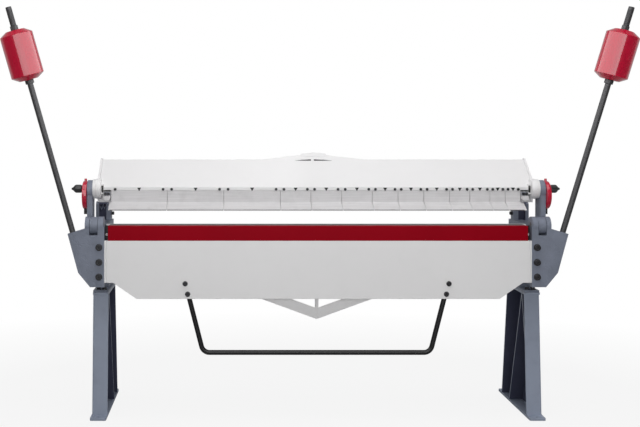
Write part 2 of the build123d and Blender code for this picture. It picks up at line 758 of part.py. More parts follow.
def leaf_apron():
    """Return the white folded pan of the bending leaf."""
    half = APRON_HALF_LENGTH
    outline = [
        (-half, -BAR_HEIGHT),
        (half, -BAR_HEIGHT),
        (half, APRON_SIDE_DROP),
        (half - APRON_CHAMFER_INSET, APRON_SIDE_DROP),
        (half - APRON_FOOT_INSET, APRON_DROP),
        (APRON_FOOT_INSET - half, APRON_DROP),
        (APRON_CHAMFER_INSET - half, APRON_SIDE_DROP),
        (-half, APRON_SIDE_DROP),
    ]
    pan = front_plate(outline, LEAF_FRONT, LEAF_BACK)
    hollow = half - APRON_PLATE
    room = [
        (-hollow, -BAR_HEIGHT - APRON_PLATE),
        (hollow, -BAR_HEIGHT - APRON_PLATE),
        (hollow, 2 * APRON_DROP),
        (-hollow, 2 * APRON_DROP),
    ]
    pan -= front_plate(room, LEAF_FRONT + APRON_PLATE, LEAF_BACK)
    seam_outside = half - APRON_SEAM_INSET
    seam = [
        (seam_outside - APRON_SEAM, -BAR_HEIGHT),
        (seam_outside, -BAR_HEIGHT),
        (seam_outside, APRON_DROP),
        (seam_outside - APRON_SEAM, APRON_DROP),
    ]
    groove = front_plate(seam, LEAF_FRONT, LEAF_FRONT + APRON_SEAM_DEPTH)
    return pan - groove - other_side(groove)


def bending_bar():
    """Return the red bending bar along the top of the leaf."""
    section = [
        (BAR_FRONT, -BAR_HEIGHT),
        (LEAF_BACK, -BAR_HEIGHT),
        (LEAF_BACK, 0.0),
        (BAR_FRONT, 0.0),
    ]
    return side_plate(section, -HALF_WORKING, HALF_WORKING)


def rod_shoulder(side):
    """Return the height of the casting's sloping shoulder at X = side."""
    return CASTING_TIP_DROP + (CASTING_TIP - side) * tan(radians(CASTING_SHOULDER))


def leaf_casting():
    """Return the right end casting of the leaf with its two hinge ears."""
    body = front_plate(
        [
            (CASTING_INSIDE, CASTING_FOOT),
            (CASTING_INSIDE + CASTING_FOOT_WIDTH, CASTING_FOOT),
            (CASTING_INSIDE + CASTING_WAIST_WIDTH, CASTING_WAIST_DROP),
            (CASTING_TIP, CASTING_TIP_DROP),
            (OUTER_EAR_OUTSIDE, rod_shoulder(OUTER_EAR_OUTSIDE)),
            (OUTER_EAR_OUTSIDE, 0.0),
            (CASTING_INSIDE, 0.0),
        ],
        LEAF_FRONT,
        LEAF_BACK,
    )
    inner_ear = side_shaft(2 * EAR_RADIUS, EAR_INSIDE, EAR_INSIDE + INNER_EAR)
    outer_ear = side_shaft(2 * EAR_RADIUS, OUTER_EAR_INSIDE, OUTER_EAR_OUTSIDE)
    slot_inside = BOSS_INSIDE - RUNNING_GAP
    slot_foot = -BOSS_RADIUS - SIDE_GAP
    slot = front_plate(
        [
            (slot_inside, slot_foot),
            (OUTER_EAR_INSIDE, slot_foot),
            (OUTER_EAR_INSIDE, 0.0),
            (slot_inside, 0.0),
        ],
        LEAF_FRONT,
        LEAF_BACK,
    )
    casting = body - slot + inner_ear + outer_ear
    bore = HINGE_PIN + 2 * PIN_CLEARANCE
    return casting - side_shaft(bore, CASTING_INSIDE, OUTER_EAR_OUTSIDE)


def bolt_head(diameter, head_height, side, lift):
    """Return a socket head on the front of the leaf."""
    plane = Plane.XZ.offset(-depth(LEAF_FRONT)) * Pos(side, height(lift))
    head = extrude(plane * Circle(diameter / 2), head_height)
    socket = Plane.XZ.offset(-depth(LEAF_FRONT - head_height)) * Pos(side, height(lift))
    hexagon = RegularPolygon(diameter * BOLT_SOCKET / CASTING_BOLT / 2, 6, major_radius=False)
    return head - extrude(socket * hexagon, -head_height / 2)


def leaf_bolts():
    """Return the socket heads of the end castings and of the handle."""
    heads = []
    for hand in (-1, 1):
        for drop in CASTING_BOLT_DROPS:
            side = hand * (CASTING_INSIDE + CASTING_BOLT_INSET)
            heads.append(bolt_head(CASTING_BOLT, CASTING_BOLT_HEIGHT, side, drop))
        for side, drop in HANDLE_BOLTS:
            heads.append(bolt_head(HANDLE_BOLT, HANDLE_BOLT_HEIGHT, hand * side, drop))
    return heads


def rod_plane(along):
    """Return the plane square to the right rod, so far up from its foot."""
    sideways = tan(radians(ROD_LEAN))
    forward = tan(radians(ROD_FORWARD_LEAN))
    direction = Vector(sideways, -forward, 1).normalized()
    foot = Vector(ROD_FOOT, depth(LEAF_MIDDLE), height(rod_shoulder(ROD_FOOT)))
    across = Vector(0, 1, forward).normalized()
    return Plane(origin=foot + direction * along, x_dir=across, z_dir=direction)


def counter_rod():
    """Return the right rod of the counterweight."""
    rod = extrude(rod_plane(-ROD_DIAMETER / 2) * Circle(ROD_DIAMETER / 2), ROD_LENGTH)
    return rod - leaf_casting()


def counterweight():
    """Return the right hollow drum with its conical ends."""
    radius = WEIGHT_DIAMETER / 2
    end_radius = WEIGHT_END_DIAMETER / 2
    half = WEIGHT_LENGTH / 2
    bore = ROD_DIAMETER / 2 + PIN_CLEARANCE
    tube = bore + WEIGHT_WALL
    inner = radius - WEIGHT_WALL
    outside = Polyline(
        (bore, -half - WEIGHT_CONE),
        (end_radius, -half - WEIGHT_CONE),
        (radius, -half),
        (radius, half),
        (end_radius, half + WEIGHT_CONE),
        (bore, half + WEIGHT_CONE),
        close=True,
    )
    inside = Polyline((tube, -half), (inner, -half), (inner, half), (tube, half), close=True)
    wall = Plane.XZ * make_face(outside) - Plane.XZ * make_face(inside)
    drum = revolve(wall, Axis.Z)
    return rod_plane(WEIGHT_ALONG_ROD).location * drum


def weight_nuts():
    """Return the nut and the collar that hold the right drum on its rod."""
    reach = WEIGHT_LENGTH / 2 + WEIGHT_CONE
    bore = Circle(ROD_DIAMETER / 2 + PIN_CLEARANCE)
    top = extrude(rod_plane(WEIGHT_ALONG_ROD + reach) * (Circle(NUT_DIAMETER / 2) - bore), NUT_LENGTH)
    low_plane = rod_plane(WEIGHT_ALONG_ROD - reach - COLLAR_LENGTH)
    low = extrude(low_plane * (Circle(COLLAR_DIAMETER / 2) - bore), COLLAR_LENGTH)
    return [top, low]


def handle():
    """Return the bent round bar that the leaf is pulled up with."""
    upper, lower = HANDLE_BOLTS
    lean = (upper[0] - lower[0]) / (upper[1] - lower[1])
    end = upper[1] + HANDLE_END
    end_side = upper[0] + lean * HANDLE_END
    bar_back = LEAF_FRONT + APRON_PLATE + HANDLE_BAR / 2
    plane = Plane.XZ.offset(-depth(bar_back))
    route = FilletPolyline(
        (-end_side, height(end)),
        (-HANDLE_BEND, height(HANDLE_DROP)),
        (HANDLE_BEND, height(HANDLE_DROP)),
        (end_side, height(end)),
        radius=HANDLE_RADIUS,
    )
    path = plane * route
    start = Plane(origin=path @ 0, z_dir=path % 0)
    return sweep(start * Circle(HANDLE_BAR / 2), path)


def write(name, shape):
    """Write one piece, or several loose pieces of a kind, as one STEP file."""
    if isinstance(shape, list):
        solids = [solid for piece in shape for solid in piece.solids()]
    else:
        solids = list(shape.solids())
    whole = solids[0] if len(solids) == 1 else Compound(children=solids)
    export_step(whole, f"parts/{name}.step")


def write_pair(name, shape):
    """Write a right hand piece and its mirror image."""
    write(f"right_{name}", shape)
    write(f"left_{name}", other_side(shape))


def write_narrow_fingers(start):
    """Write the narrower fingers, one file a width, side by side from X = start."""
    names = ("fingers_190", "fingers_160", "fingers_125", "fingers_95")
    for name, width, count in zip(names, NARROW_FINGERS, NARROW_FINGER_COUNTS):
        write(name, fingers(start, width, count))
        start += width * count


def main():
    """Build every piece and write the STEP files."""
    os.makedirs("parts", exist_ok=True)
    write_pair("base_plate", base_plate())
    write_pair("stand_shell", stand_shell())
    write_pair("stand_top_plate", stand_top_plate())
    write_pair("stand_brace", stand_brace())
    write_pair("side_frame", side_frame())
    write("hinge_pins", [hinge_pin(), other_side(hinge_pin())])
    write("guide_pins", [guide_pin(), other_side(guide_pin())])
    write("foot_bolts", foot_bolts())
    write("bed_beam", bed_beam())
    write("bed_rail", bed_rail())
    write_pair("bed_truss_bar", bed_truss_bar())
    write("bed_truss_screw", bed_truss_screw())
    write("beam_shell", beam_shell())
    write_pair("beam_end", beam_end())
    write("beam_truss", beam_truss())
    write("beam_truss_screw", beam_truss_screw())
    wide_end = WIDE_FINGER * WIDE_FINGERS - HALF_WORKING
    write("fingers_350", fingers(-HALF_WORKING, WIDE_FINGER, WIDE_FINGERS))
    write_narrow_fingers(wide_end)
    write_pair("clamp_arm", clamp_arm())
    write_pair("cam_disc", cam_disc())
    write_pair("star_knob", star_knob())
    write("leaf_apron", leaf_apron())
    write("bending_bar", bending_bar())
    write_pair("leaf_casting", leaf_casting())
    write("leaf_bolts", leaf_bolts())
    write_pair("counter_rod", counter_rod())
    write_pair("counterweight", counterweight())
    write("weight_nuts", weight_nuts() + [other_side(nut) for nut in weight_nuts()])
    write("handle", handle())


main()
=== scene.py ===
"""Looks of a manual sheet metal bending machine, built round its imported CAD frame.

Everything is in metres. Each sub-assembly is a class that builds its own pieces from
the frame's nodes, and each finish is a frozen dataclass that makes one material.
"""

import json
import logging
import math
from dataclasses import dataclass, field
from enum import Enum
from typing import Sequence

import bmesh
import bpy
from mathutils import Euler, Matrix, Vector


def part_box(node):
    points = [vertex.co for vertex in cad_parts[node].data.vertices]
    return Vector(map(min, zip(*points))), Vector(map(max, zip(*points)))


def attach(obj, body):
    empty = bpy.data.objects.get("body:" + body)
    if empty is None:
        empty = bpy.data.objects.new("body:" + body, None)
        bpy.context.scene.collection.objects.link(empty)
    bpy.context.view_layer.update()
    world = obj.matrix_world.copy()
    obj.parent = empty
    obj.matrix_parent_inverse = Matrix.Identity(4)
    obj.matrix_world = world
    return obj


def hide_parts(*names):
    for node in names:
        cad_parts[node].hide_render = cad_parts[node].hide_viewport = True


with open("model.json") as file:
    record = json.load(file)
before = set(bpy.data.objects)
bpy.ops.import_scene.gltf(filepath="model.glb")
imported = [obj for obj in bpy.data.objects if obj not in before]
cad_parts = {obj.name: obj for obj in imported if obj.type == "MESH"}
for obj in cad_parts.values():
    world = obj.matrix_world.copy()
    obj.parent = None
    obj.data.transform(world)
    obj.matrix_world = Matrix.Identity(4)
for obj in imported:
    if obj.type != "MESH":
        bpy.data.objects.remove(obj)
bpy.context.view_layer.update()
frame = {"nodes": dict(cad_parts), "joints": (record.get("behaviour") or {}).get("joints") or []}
HINGE = Vector(next(joint for joint in frame["joints"] if joint["name"] == "leaf_hinge")["pos_m"])
LOG = logging.getLogger("bending_machine")
MM = 0.001
SEAM = 0.02 * MM
ARC_STEP = 15.0
QUARTER = round(90 / ARC_STEP) + 1
HALF = round(180 / ARC_STEP) + 1
SOCKET_DEPTH = 0.55
MIRRORED_WHITE = 0.55
FORWARD = Vector((0.0, -1.0, 0.0))
UP = Vector((0.0, 0.0, 1.0))


class Hand(Enum):
    """The two ends of the machine, as the sign of X."""

    LEFT = -1
    RIGHT = 1

    def node(self, name: str) -> str:
        """Return the name of this hand's node."""
        return f"{self.name.lower()}_{name}"

    def across(self, length: float) -> Vector:
        """Return a vector of a length that points out of the machine at this hand."""
        return Vector((self.value * length, 0.0, 0.0))


class Body(Enum):
    """The rigid bodies that pieces ride on."""

    FRAME = "frame"
    BEAM = "clamping_beam"
    LEAF = "bending_leaf"
    LEFT_CAM = "left_cam"
    RIGHT_CAM = "right_cam"


class Slot(Enum):
    """The record's material slots."""

    STAND = "stand_paint"
    CASTING = "casting_paint"
    WHITE = "white_paint"
    FINGER = "finger_steel"
    STEEL = "bare_steel"
    BAR = "bar_red"
    GLOSS_RED = "gloss_red"
    ROD = "rod_steel"
    FASTENER = "black_fasteners"
    BLACK = "black_paint"
    KNOB = "knob_plastic"


class Tree:
    """A node tree while it is being made."""

    def __init__(self, tree: bpy.types.NodeTree) -> None:
        """Work on a tree."""
        self.tree = tree

    def add(self, kind: str, settings: dict | None = None, **inputs: object) -> bpy.types.Node:
        """Add a node, set its properties and fill its inputs.

        Args:
            kind: the node's Blender type.
            settings: properties of the node itself.
            inputs: values or output sockets, by input name with _ for a space.

        Returns:
            The new node.
        """
        node = self.tree.nodes.new(kind)
        for key, value in (settings or {}).items():
            setattr(node, key, value)
        for key, value in inputs.items():
            self.feed(node.inputs[key.replace("_", " ")], value)
        return node

    def feed(self, socket: bpy.types.NodeSocket, value: object) -> None:
        """Link an output to a socket, or set the socket's own value."""
        if isinstance(value, bpy.types.NodeSocket):
            self.tree.links.new(value, socket)
        else:
            socket.default_value = value

    def math(self, operation: str, first: object, second: object = 0.0) -> bpy.types.NodeSocket:
        """Return the result of a sum on one or two numbers."""
        node = self.add("ShaderNodeMath", {"operation": operation})
        self.feed(node.inputs[0], first)
        self.feed(node.inputs[1], second)
        return node.outputs[0]

    def spread(
        self,
        value: bpy.types.NodeSocket,
        low: float,
        high: float,
        start: float = 0.3,
        end: float = 0.7,
    ) -> bpy.types.NodeSocket:
        """Return a value spread from low to high between start and end."""
        node = self.add(
            "ShaderNodeMapRange",
            Value=value,
            From_Min=start,
            From_Max=end,
            To_Min=low,
            To_Max=high,
        )
        return node.outputs["Result"]

    def shade(
        self,
        share: bpy.types.NodeSocket,
        first: bpy.types.NodeSocket,
        second: bpy.types.NodeSocket,
    ) -> bpy.types.NodeSocket:
        """Return a mix of two shaders."""
        node = self.add("ShaderNodeMixShader")
        for socket, value in zip(node.inputs, (share, first, second)):
            self.feed(socket, value)
        return node.outputs[0]


class Recipe(Tree):
    """A material's node tree while it is being made."""

    def __init__(self, name: str) -> None:
        """Start a material with a plain Principled shader.

        Args:
            name: the material's name.
        """
        self.made = bpy.data.materials.new(name)
        self.made.use_nodes = True
        super().__init__(self.made.node_tree)
        self.shader = self.tree.nodes["Principled BSDF"]
        self.surface = self.tree.nodes["Material Output"].inputs["Surface"]
        self.place = self.add("ShaderNodeTexCoord").outputs["Object"]

    def stretched(self, scale: tuple[float, float, float]) -> bpy.types.NodeSocket:
        """Return the object coordinates, scaled for a pattern with a direction."""
        return self.add("ShaderNodeMapping", Vector=self.place, Scale=scale).outputs["Vector"]

    def noise(
        self,
        size: float,
        detail: float = 2.0,
        where: bpy.types.NodeSocket | None = None,
    ) -> bpy.types.NodeSocket:
        """Return noise whose lumps are about so many metres across."""
        vector = where or self.place
        node = self.add("ShaderNodeTexNoise", Vector=vector, Scale=1 / size, Detail=detail)
        return node.outputs["Fac"]

    def mix(self, share: object, first: object, second: object) -> bpy.types.NodeSocket:
        """Return a mix of two colours."""
        node = self.add("ShaderNodeMix", {"data_type": "RGBA"})
        for number, value in ((0, share), (6, first), (7, second)):
            self.feed(node.inputs[number], value)
        return node.outputs[2]

    def bump(
        self,
        height: bpy.types.NodeSocket,
        depth: float,
        below: bpy.types.NodeSocket | None = None,
    ) -> bpy.types.NodeSocket:
        """Return a normal with bumps of so many metres, on top of another one."""
        node = self.add("ShaderNodeBump", Height=height, Distance=depth, Strength=1.0)
        if below:
            self.feed(node.inputs["Normal"], below)
        return node.outputs["Normal"]

    def dress(self, **inputs: object) -> bpy.types.Material:
        """Fill the shader's inputs and return the material."""
        for key, value in inputs.items():
            self.feed(self.shader.inputs[key.replace("_", " ")], value)
        return self.made


def rgba(color: Sequence[float], factor: float = 1.0) -> tuple[float, float, float, float]:
    """Return an opaque colour, made lighter or darker by a factor."""
    return (*(min(1.0, channel * factor) for channel in color), 1.0)


def white_rays(
    tree: Tree, place: bpy.types.NodeSocket, start: float, end: float
) -> bpy.types.NodeSocket:
    """Return 1 for rays of the camera and through glass, and 0 for rays that light the machine.

    Args:
        tree: the material's or the world's tree.
        place: a point or direction; reflections see white where its Y is large.
        start: the Y at which reflections begin to see white.
        end: the Y from which they see the most of it.

    Returns:
        The share of white.
    """
    path = tree.add("ShaderNodeLightPath")
    parts = tree.add("ShaderNodeSeparateXYZ", Vector=place)
    behind = tree.spread(parts.outputs["Y"], 0.0, MIRRORED_WHITE, start, end)
    mirrored = tree.math("MULTIPLY", path.outputs["Is Glossy Ray"], behind)
    clear = path.outputs["Is Transmission Ray"]
    seen = tree.math("MAXIMUM", path.outputs["Is Camera Ray"], clear)
    return tree.math("MAXIMUM", seen, mirrored)


@dataclass(frozen=True)
class Paint:
    """Sprayed or powder coated paint, with orange peel and a slow drift of tone."""

    name: str
    color: tuple[float, float, float]
    roughness: float = 0.4
    tone: float = 0.05
    tone_size: float = 0.5
    peel_size: float = 0.0035
    peel_depth: float = 0.00012
    coat: float = 0.0
    grime: float = 0.0
    shine: float = 0.5

    def material(self) -> bpy.types.Material:
        """Make the material."""
        recipe = Recipe(self.name)
        drift = recipe.spread(recipe.noise(self.tone_size, 4.0), 0.0, 1.0)
        color = recipe.mix(drift, rgba(self.color, 1 - self.tone), rgba(self.color, 1 + self.tone))
        if self.grime:
            spots = recipe.spread(recipe.noise(0.09, 6.0), 0.0, self.grime, 0.52, 0.78)
            color = recipe.mix(spots, color, rgba(self.color, 0.62))
        rough = recipe.spread(
            recipe.noise(0.03, 3.0), self.roughness - 0.05, self.roughness + 0.06
        )
        normal = recipe.bump(recipe.noise(self.peel_size, 2.0), self.peel_depth)
        return recipe.dress(
            Base_Color=color,
            Roughness=rough,
            Normal=normal,
            Specular_IOR_Level=self.shine,
            Coat_Weight=self.coat,
            Coat_Roughness=0.05,
        )


@dataclass(frozen=True)
class Cast:
    """Painted cast iron: a rough skin with shallow pits under the paint."""

    name: str
    color: tuple[float, float, float]
    roughness: float = 0.5
    skin_size: float = 0.007
    skin_depth: float = 0.0006
    pit_size: float = 0.02
    pit_depth: float = 0.0008

    def material(self) -> bpy.types.Material:
        """Make the material."""
        recipe = Recipe(self.name)
        drift = recipe.spread(recipe.noise(0.12, 5.0), 0.0, 1.0)
        color = recipe.mix(drift, rgba(self.color, 0.86), rgba(self.color, 1.14))
        skin = recipe.bump(recipe.noise(self.skin_size, 4.0), self.skin_depth)
        pits = recipe.spread(recipe.noise(self.pit_size, 6.0), 0.0, 1.0, 0.3, 0.45)
        normal = recipe.bump(pits, self.pit_depth, skin)
        rough = recipe.spread(recipe.noise(0.02, 3.0), self.roughness - 0.07, self.roughness + 0.1)
        return recipe.dress(
            Base_Color=color, Roughness=rough, Normal=normal, Specular_IOR_Level=0.3
        )


@dataclass(frozen=True)
class Steel:
    """Bare steel with the fine parallel lines of a grinder or a lathe."""

    name: str
    color: tuple[float, float, float]
    lines: tuple[float, float, float]
    roughness: float = 0.35
    metal: float = 1.0
    line_depth: float = 0.00005
    stain: float = 0.15
    shine: float = 0.5

    def material(self) -> bpy.types.Material:
        """Make the material."""
        recipe = Recipe(self.name)
        where = recipe.stretched(self.lines)
        lines = recipe.noise(1.0, 3.0, where)
        stains = recipe.spread(recipe.noise(0.06, 6.0), 0.0, self.stain, 0.5, 0.75)
        light = recipe.mix(
            recipe.spread(lines, 0.0, 1.0), rgba(self.color, 0.9), rgba(self.color, 1.08)
        )
        color = recipe.mix(stains, light, rgba(self.color, 0.45))
        rough = recipe.spread(lines, self.roughness - 0.06, self.roughness + 0.08)
        normal = recipe.bump(lines, self.line_depth)
        return recipe.dress(
            Base_Color=color,
            Roughness=rough,
            Normal=normal,
            Metallic=self.metal,
            Specular_IOR_Level=self.shine,
        )


@dataclass(frozen=True)
class Moulded:
    """Moulded black plastic with a faint grain."""

    name: str
    color: tuple[float, float, float]
    roughness: float = 0.38

    def material(self) -> bpy.types.Material:
        """Make the material."""
        recipe = Recipe(self.name)
        drift = recipe.spread(recipe.noise(0.01, 3.0), 0.0, 1.0)
        color = recipe.mix(drift, rgba(self.color, 0.8), rgba(self.color, 1.3))
        normal = recipe.bump(recipe.noise(0.0012, 2.0), 0.00005)
        rough = recipe.spread(
            recipe.noise(0.004, 2.0), self.roughness - 0.05, self.roughness + 0.08
        )
        return recipe.dress(Base_Color=color, Roughness=rough, Normal=normal)


@dataclass(frozen=True)
class Palette:
    """All finishes of the machine, one material for each slot."""

    finishes: dict[Slot, Paint | Cast | Steel | Moulded] = field(
        default_factory=lambda: {
            Slot.WHITE: Paint(
                "white_paint", (0.80, 0.795, 0.80), 0.42, tone=0.012, grime=0.04, shine=0.35
            ),
            Slot.STAND: Paint(
                "stand_paint", (0.26, 0.295, 0.375), 0.45, tone=0.08, grime=0.25, shine=0.35
            ),
            Slot.CASTING: Cast("casting_paint", (0.175, 0.196, 0.25)),
            Slot.FINGER: Steel(
                "finger_steel", (0.63, 0.62, 0.63), (3.0, 260.0, 260.0), 0.5, metal=0.0, shine=0.25
            ),
            Slot.STEEL: Steel(
                "bare_steel", (0.16, 0.155, 0.16), (4.0, 300.0, 300.0), 0.65, metal=0.0, shine=0.04
            ),
            Slot.BAR: Paint("bar_red", (0.29, 0.0003, 0.008), 0.45, tone=0.06, shine=0.03),
            Slot.GLOSS_RED: Paint(
                "gloss_red",
                (0.5, 0.0015, 0.03),
                0.3,
                tone=0.04,
                peel_depth=0.00002,
                coat=1.0,
                shine=0.2,
            ),
            Slot.ROD: Steel(
                "rod_steel", (0.06, 0.06, 0.063), (220.0, 220.0, 9.0), 0.48, metal=0.45, shine=0.4
            ),
            Slot.FASTENER: Steel(
                "black_oxide", (0.022, 0.022, 0.025), (300.0, 300.0, 300.0), 0.42, metal=0.5
            ),
            Slot.BLACK: Paint("black_paint", (0.012, 0.012, 0.013), 0.3, tone=0.15, shine=0.25),
            Slot.KNOB: Moulded("knob_plastic", (0.02, 0.021, 0.022)),
        }
    )

    def build(self) -> dict[Slot, bpy.types.Material]:
        """Make every material."""
        return {slot: finish.material() for slot, finish in self.finishes.items()}


MATERIALS: dict[Slot, bpy.types.Material] = Palette().build()
# Painted shade: a dark paint for the faces inside the stands and in the posts' pockets, standing
# in for the shade there.
PAINTED_INSIDE_SHADE = Paint(
    "stand_painted_shade", (0.055, 0.06, 0.098), 0.6, tone=0.15, grime=0.3, shine=0.15
).material()


def add_object(name: str, mesh: bpy.types.Mesh) -> bpy.types.Object:
    """Return a new object at the origin that holds a mesh."""
    made = bpy.data.objects.new(name, mesh)
    bpy.context.scene.collection.objects.link(made)
    return made


def at(side: float, back: float, lift: float) -> Vector:
    """Return the point so many millimetres beside, behind and above the hinge line's middle."""
    return HINGE + Vector((side, back, lift)) * MM


def place(piece: bpy.types.Object, slot: Slot, body: Body, *replaced: str) -> bpy.types.Object:
    """Give a finished piece its material, its body and the nodes that it stands for.

    Args:
        piece: the piece, in place in the row frame.
        slot: its material slot.
        body: the body that it rides on.
        replaced: the CAD nodes that it hides.

    Returns:
        The piece.
    """
    piece.data.materials.clear()
    piece.data.materials.append(MATERIALS[slot])
    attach(piece, body.value)
    if replaced:
        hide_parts(*replaced)
    LOG.info("%s on %s, %d faces", piece.name, body.value, len(piece.data.polygons))
    return piece


def bake(piece: bpy.types.Object) -> None:
    """Turn an object's modifiers into its own plain mesh."""
    view = bpy.context.evaluated_depsgraph_get()
    view.update()
    raw = piece.data
    mesh = bpy.data.meshes.new_from_object(piece.evaluated_get(view))
    piece.modifiers.clear()
    piece.data = mesh
    bpy.data.meshes.remove(raw)
    mesh.name = piece.name


def settle(piece: bpy.types.Object, angle: float = 35.0) -> None:
    """Shade a piece smooth with crisp edges, and keep its large faces flat to the eye."""
    piece.data.shade_smooth()
    piece.data.set_sharp_from_angle(angle=math.radians(angle))
    even = piece.modifiers.new("even_normals", "WEIGHTED_NORMAL")
    even.mode = "FACE_AREA"
    even.weight = 50
    even.keep_sharp = True
    bake(piece)


class Form:
    """A mesh while it is being made, in the row frame and in metres."""

    def __init__(self, source: bpy.types.Mesh | None = None) -> None:
        """Start empty, or from a mesh."""
        self.work = bmesh.new()
        if source:
            self.work.from_mesh(source)

    def prism(self, outline: Sequence[Vector], push: Vector, width: float = 0.0) -> None:
        """Add a flat outline pushed along a vector.

        Args:
            outline: its corners, in order.
            push: how far and where the outline is pushed.
            width: how wide its edges are eased, in metres.
        """
        own = bmesh.new()
        face = own.faces.new([own.verts.new(corner) for corner in outline])
        moved = bmesh.ops.extrude_face_region(own, geom=[face])["geom"]
        tops = [item for item in moved if isinstance(item, bmesh.types.BMVert)]
        bmesh.ops.translate(own, verts=tops, vec=push)
        bmesh.ops.recalc_face_normals(own, faces=own.faces)
        if width:
            ease(own, width, 2, 30.0)
        self.join(own)

    def box(self, low: Vector, high: Vector, width: float = 0.0) -> None:
        """Add a block between two corners, with eased edges."""
        sides = ((low.x, low.y), (high.x, low.y), (high.x, high.y), (low.x, high.y))
        corners = [Vector((x, y, low.z)) for x, y in sides]
        self.prism(corners, Vector((0.0, 0.0, high.z - low.z)), width)

    def lathe(
        self,
        profile: Sequence[tuple[float, ...]],
        stand: Matrix,
        steps: int = 64,
        lobes: int = 0,
    ) -> None:
        """Add a turned body round the local Z axis of a matrix.

        Args:
            profile: (along, radius) pairs in millimetres, with the lobe depth as a third.
            stand: where the body's foot stands.
            steps: how many faces go round.
            lobes: how many lobes the third numbers make.
        """
        own = bmesh.new()
        rings = []
        for along, radius, *depth in profile:
            wave = depth[0] if depth else 0.0
            ring = []
            for step in range(steps):
                turn = math.tau * step / steps
                reach = (radius + wave * math.cos(lobes * turn)) * MM
                spot = (reach * math.cos(turn), reach * math.sin(turn), along * MM)
                ring.append(own.verts.new(spot))
            rings.append(ring)
        skin(own, rings)
        own.transform(stand)
        self.join(own)

    def tube(self, path: Sequence[Vector], radius: float, steps: int = 24) -> None:
        """Add a round bar along a path that lies in a plane square to Y.

        Args:
            path: the points of its centre line.
            radius: its radius, in metres.
            steps: how many faces go round.
        """
        own = bmesh.new()
        rings = []
        for number, point in enumerate(path):
            ahead = path[min(number + 1, len(path) - 1)] - path[max(number - 1, 0)]
            across = ahead.normalized().cross(Vector((0.0, 1.0, 0.0)))
            ring = []
            for step in range(steps):
                turn = math.tau * step / steps
                offset = across * math.cos(turn) + Vector((0.0, math.sin(turn), 0.0))
                ring.append(own.verts.new(point + offset * radius))
            rings.append(ring)
        skin(own, rings)
        self.join(own)

    def join(self, other: bmesh.types.BMesh) -> None:
        """Take in another mesh and free it."""
        carrier = bpy.data.meshes.new("carrier")
        other.to_mesh(carrier)
        other.free()
        self.work.from_mesh(carrier)
        bpy.data.meshes.remove(carrier)

    def finish(
        self, name: str, slot: Slot, body: Body, *replaced: str, angle: float = 35.0
    ) -> bpy.types.Object:
        """Turn the mesh into a finished piece.

        Args:
            name: the piece's name.
            slot: its material slot.
            body: the body that it rides on.
            replaced: the CAD nodes that it stands for.
            angle: edges sharper than this, in degrees, stay crisp.

        Returns:
            The piece.
        """
        many_sided = [f for f in self.work.faces if len(f.verts) > 4]
        bmesh.ops.triangulate(self.work, faces=many_sided)
        mesh = bpy.data.meshes.new(name)
        self.work.to_mesh(mesh)
        self.work.free()
        piece = add_object(name, mesh)
        settle(piece, angle)
        return place(piece, slot, body, *replaced)


def skin(work: bmesh.types.BMesh, rings: Sequence[Sequence[bmesh.types.BMVert]]) -> None:
    """Close a row of rings to a body with flat ends.

    Args:
        work: the mesh that holds the rings.
        rings: the rings in order, all with as many points.
    """
    for low, high in zip(rings, rings[1:]):
        for step in range(len(low)):
            after = (step + 1) % len(low)
            work.faces.new((low[step], low[after], high[after], high[step]))
    work.faces.new(list(reversed(rings[0])))
    work.faces.new(rings[-1])
    bmesh.ops.recalc_face_normals(work, faces=work.faces)


def ease(work: bmesh.types.BMesh, width: float, segments: int, angle: float) -> None:
    """Ease the edges that are sharper than an angle.

    Args:
        work: the mesh.
        width: how wide the eased edge is, in metres.
        segments: how many faces go across it.
        angle: the least angle, in degrees.
    """
    limit = math.radians(angle)
    sharp = [e for e in work.edges if len(e.link_faces) == 2 and e.calc_face_angle() > limit]
    bmesh.ops.bevel(
        work,
        geom=sharp,
        offset=width,
        offset_type="OFFSET",
        segments=segments,
        profile=0.5,
        affect="EDGES",
        clamp_overlap=True,
    )


def eased_copy(
    node: str,
    slot: Slot,
    body: Body,
    width: float = 1.5 * MM,
    segments: int = 2,
    angle: float = 32.0,
) -> bpy.types.Object:
    """Make a piece from a CAD node's form, with its sharp edges eased.

    Args:
        node: the CAD node.
        slot: the material slot.
        body: the body that it rides on.
        width: how wide the eased edge is, in metres.
        segments: how many faces go across the eased edge.
        angle: edges sharper than this, in degrees, are eased.

    Returns:
        The piece, which stands for the node.
    """
    form = Form(frame["nodes"][node].data)
    bmesh.ops.remove_doubles(form.work, verts=form.work.verts, dist=SEAM)
    bmesh.ops.dissolve_limit(
        form.work, angle_limit=math.radians(0.6), verts=form.work.verts, edges=form.work.edges
    )
    if width:
        ease(form.work, width, segments, angle)
    return form.finish(f"{node}_finished", slot, body, node)


def looking(direction: Vector) -> Euler:
    """Return the rotation that turns the Z axis along a direction."""
    return direction.to_track_quat("Z", "Y").to_euler()


def facing(direction: Vector, foot: Vector) -> Matrix:
    """Return a matrix that stands at a point with its Z axis along a direction."""
    turn = direction.to_track_quat("Z", "Y").to_matrix().to_4x4()
    return Matrix.Translation(foot) @ turn


def arc(
    middle: tuple[float, float], radius: float, first: float, count: int
) -> list[tuple[float, float]]:
    """Return points on a round, one every ARC_STEP degrees.

    Args:
        middle: the round's middle.
        radius: its radius.
        first: the angle of the first point, in degrees.
        count: how many points there are.

    Returns:
        The points.
    """
    across, up = middle
    turns = [math.radians(first + ARC_STEP * number) for number in range(count)]
    return [(across + radius * math.cos(turn), up + radius * math.sin(turn)) for turn in turns]


def rim_pair(
    radius: float, length: float, rim: Sequence[tuple[float, float]]
) -> tuple[list[tuple[float, float]], list[tuple[float, float]]]:
    """Return the eased rims at both ends of a round body.

    Args:
        radius: the body's radius.
        length: its length.
        rim: how far along and how far under the radius each point of a rim lies.

    Returns:
        The points of the rim at the foot, and those of the rim at the head.
    """
    foot = [(along, radius - under) for along, under in rim]
    head = [(length - along, radius - under) for along, under in reversed(rim)]
    return foot, head


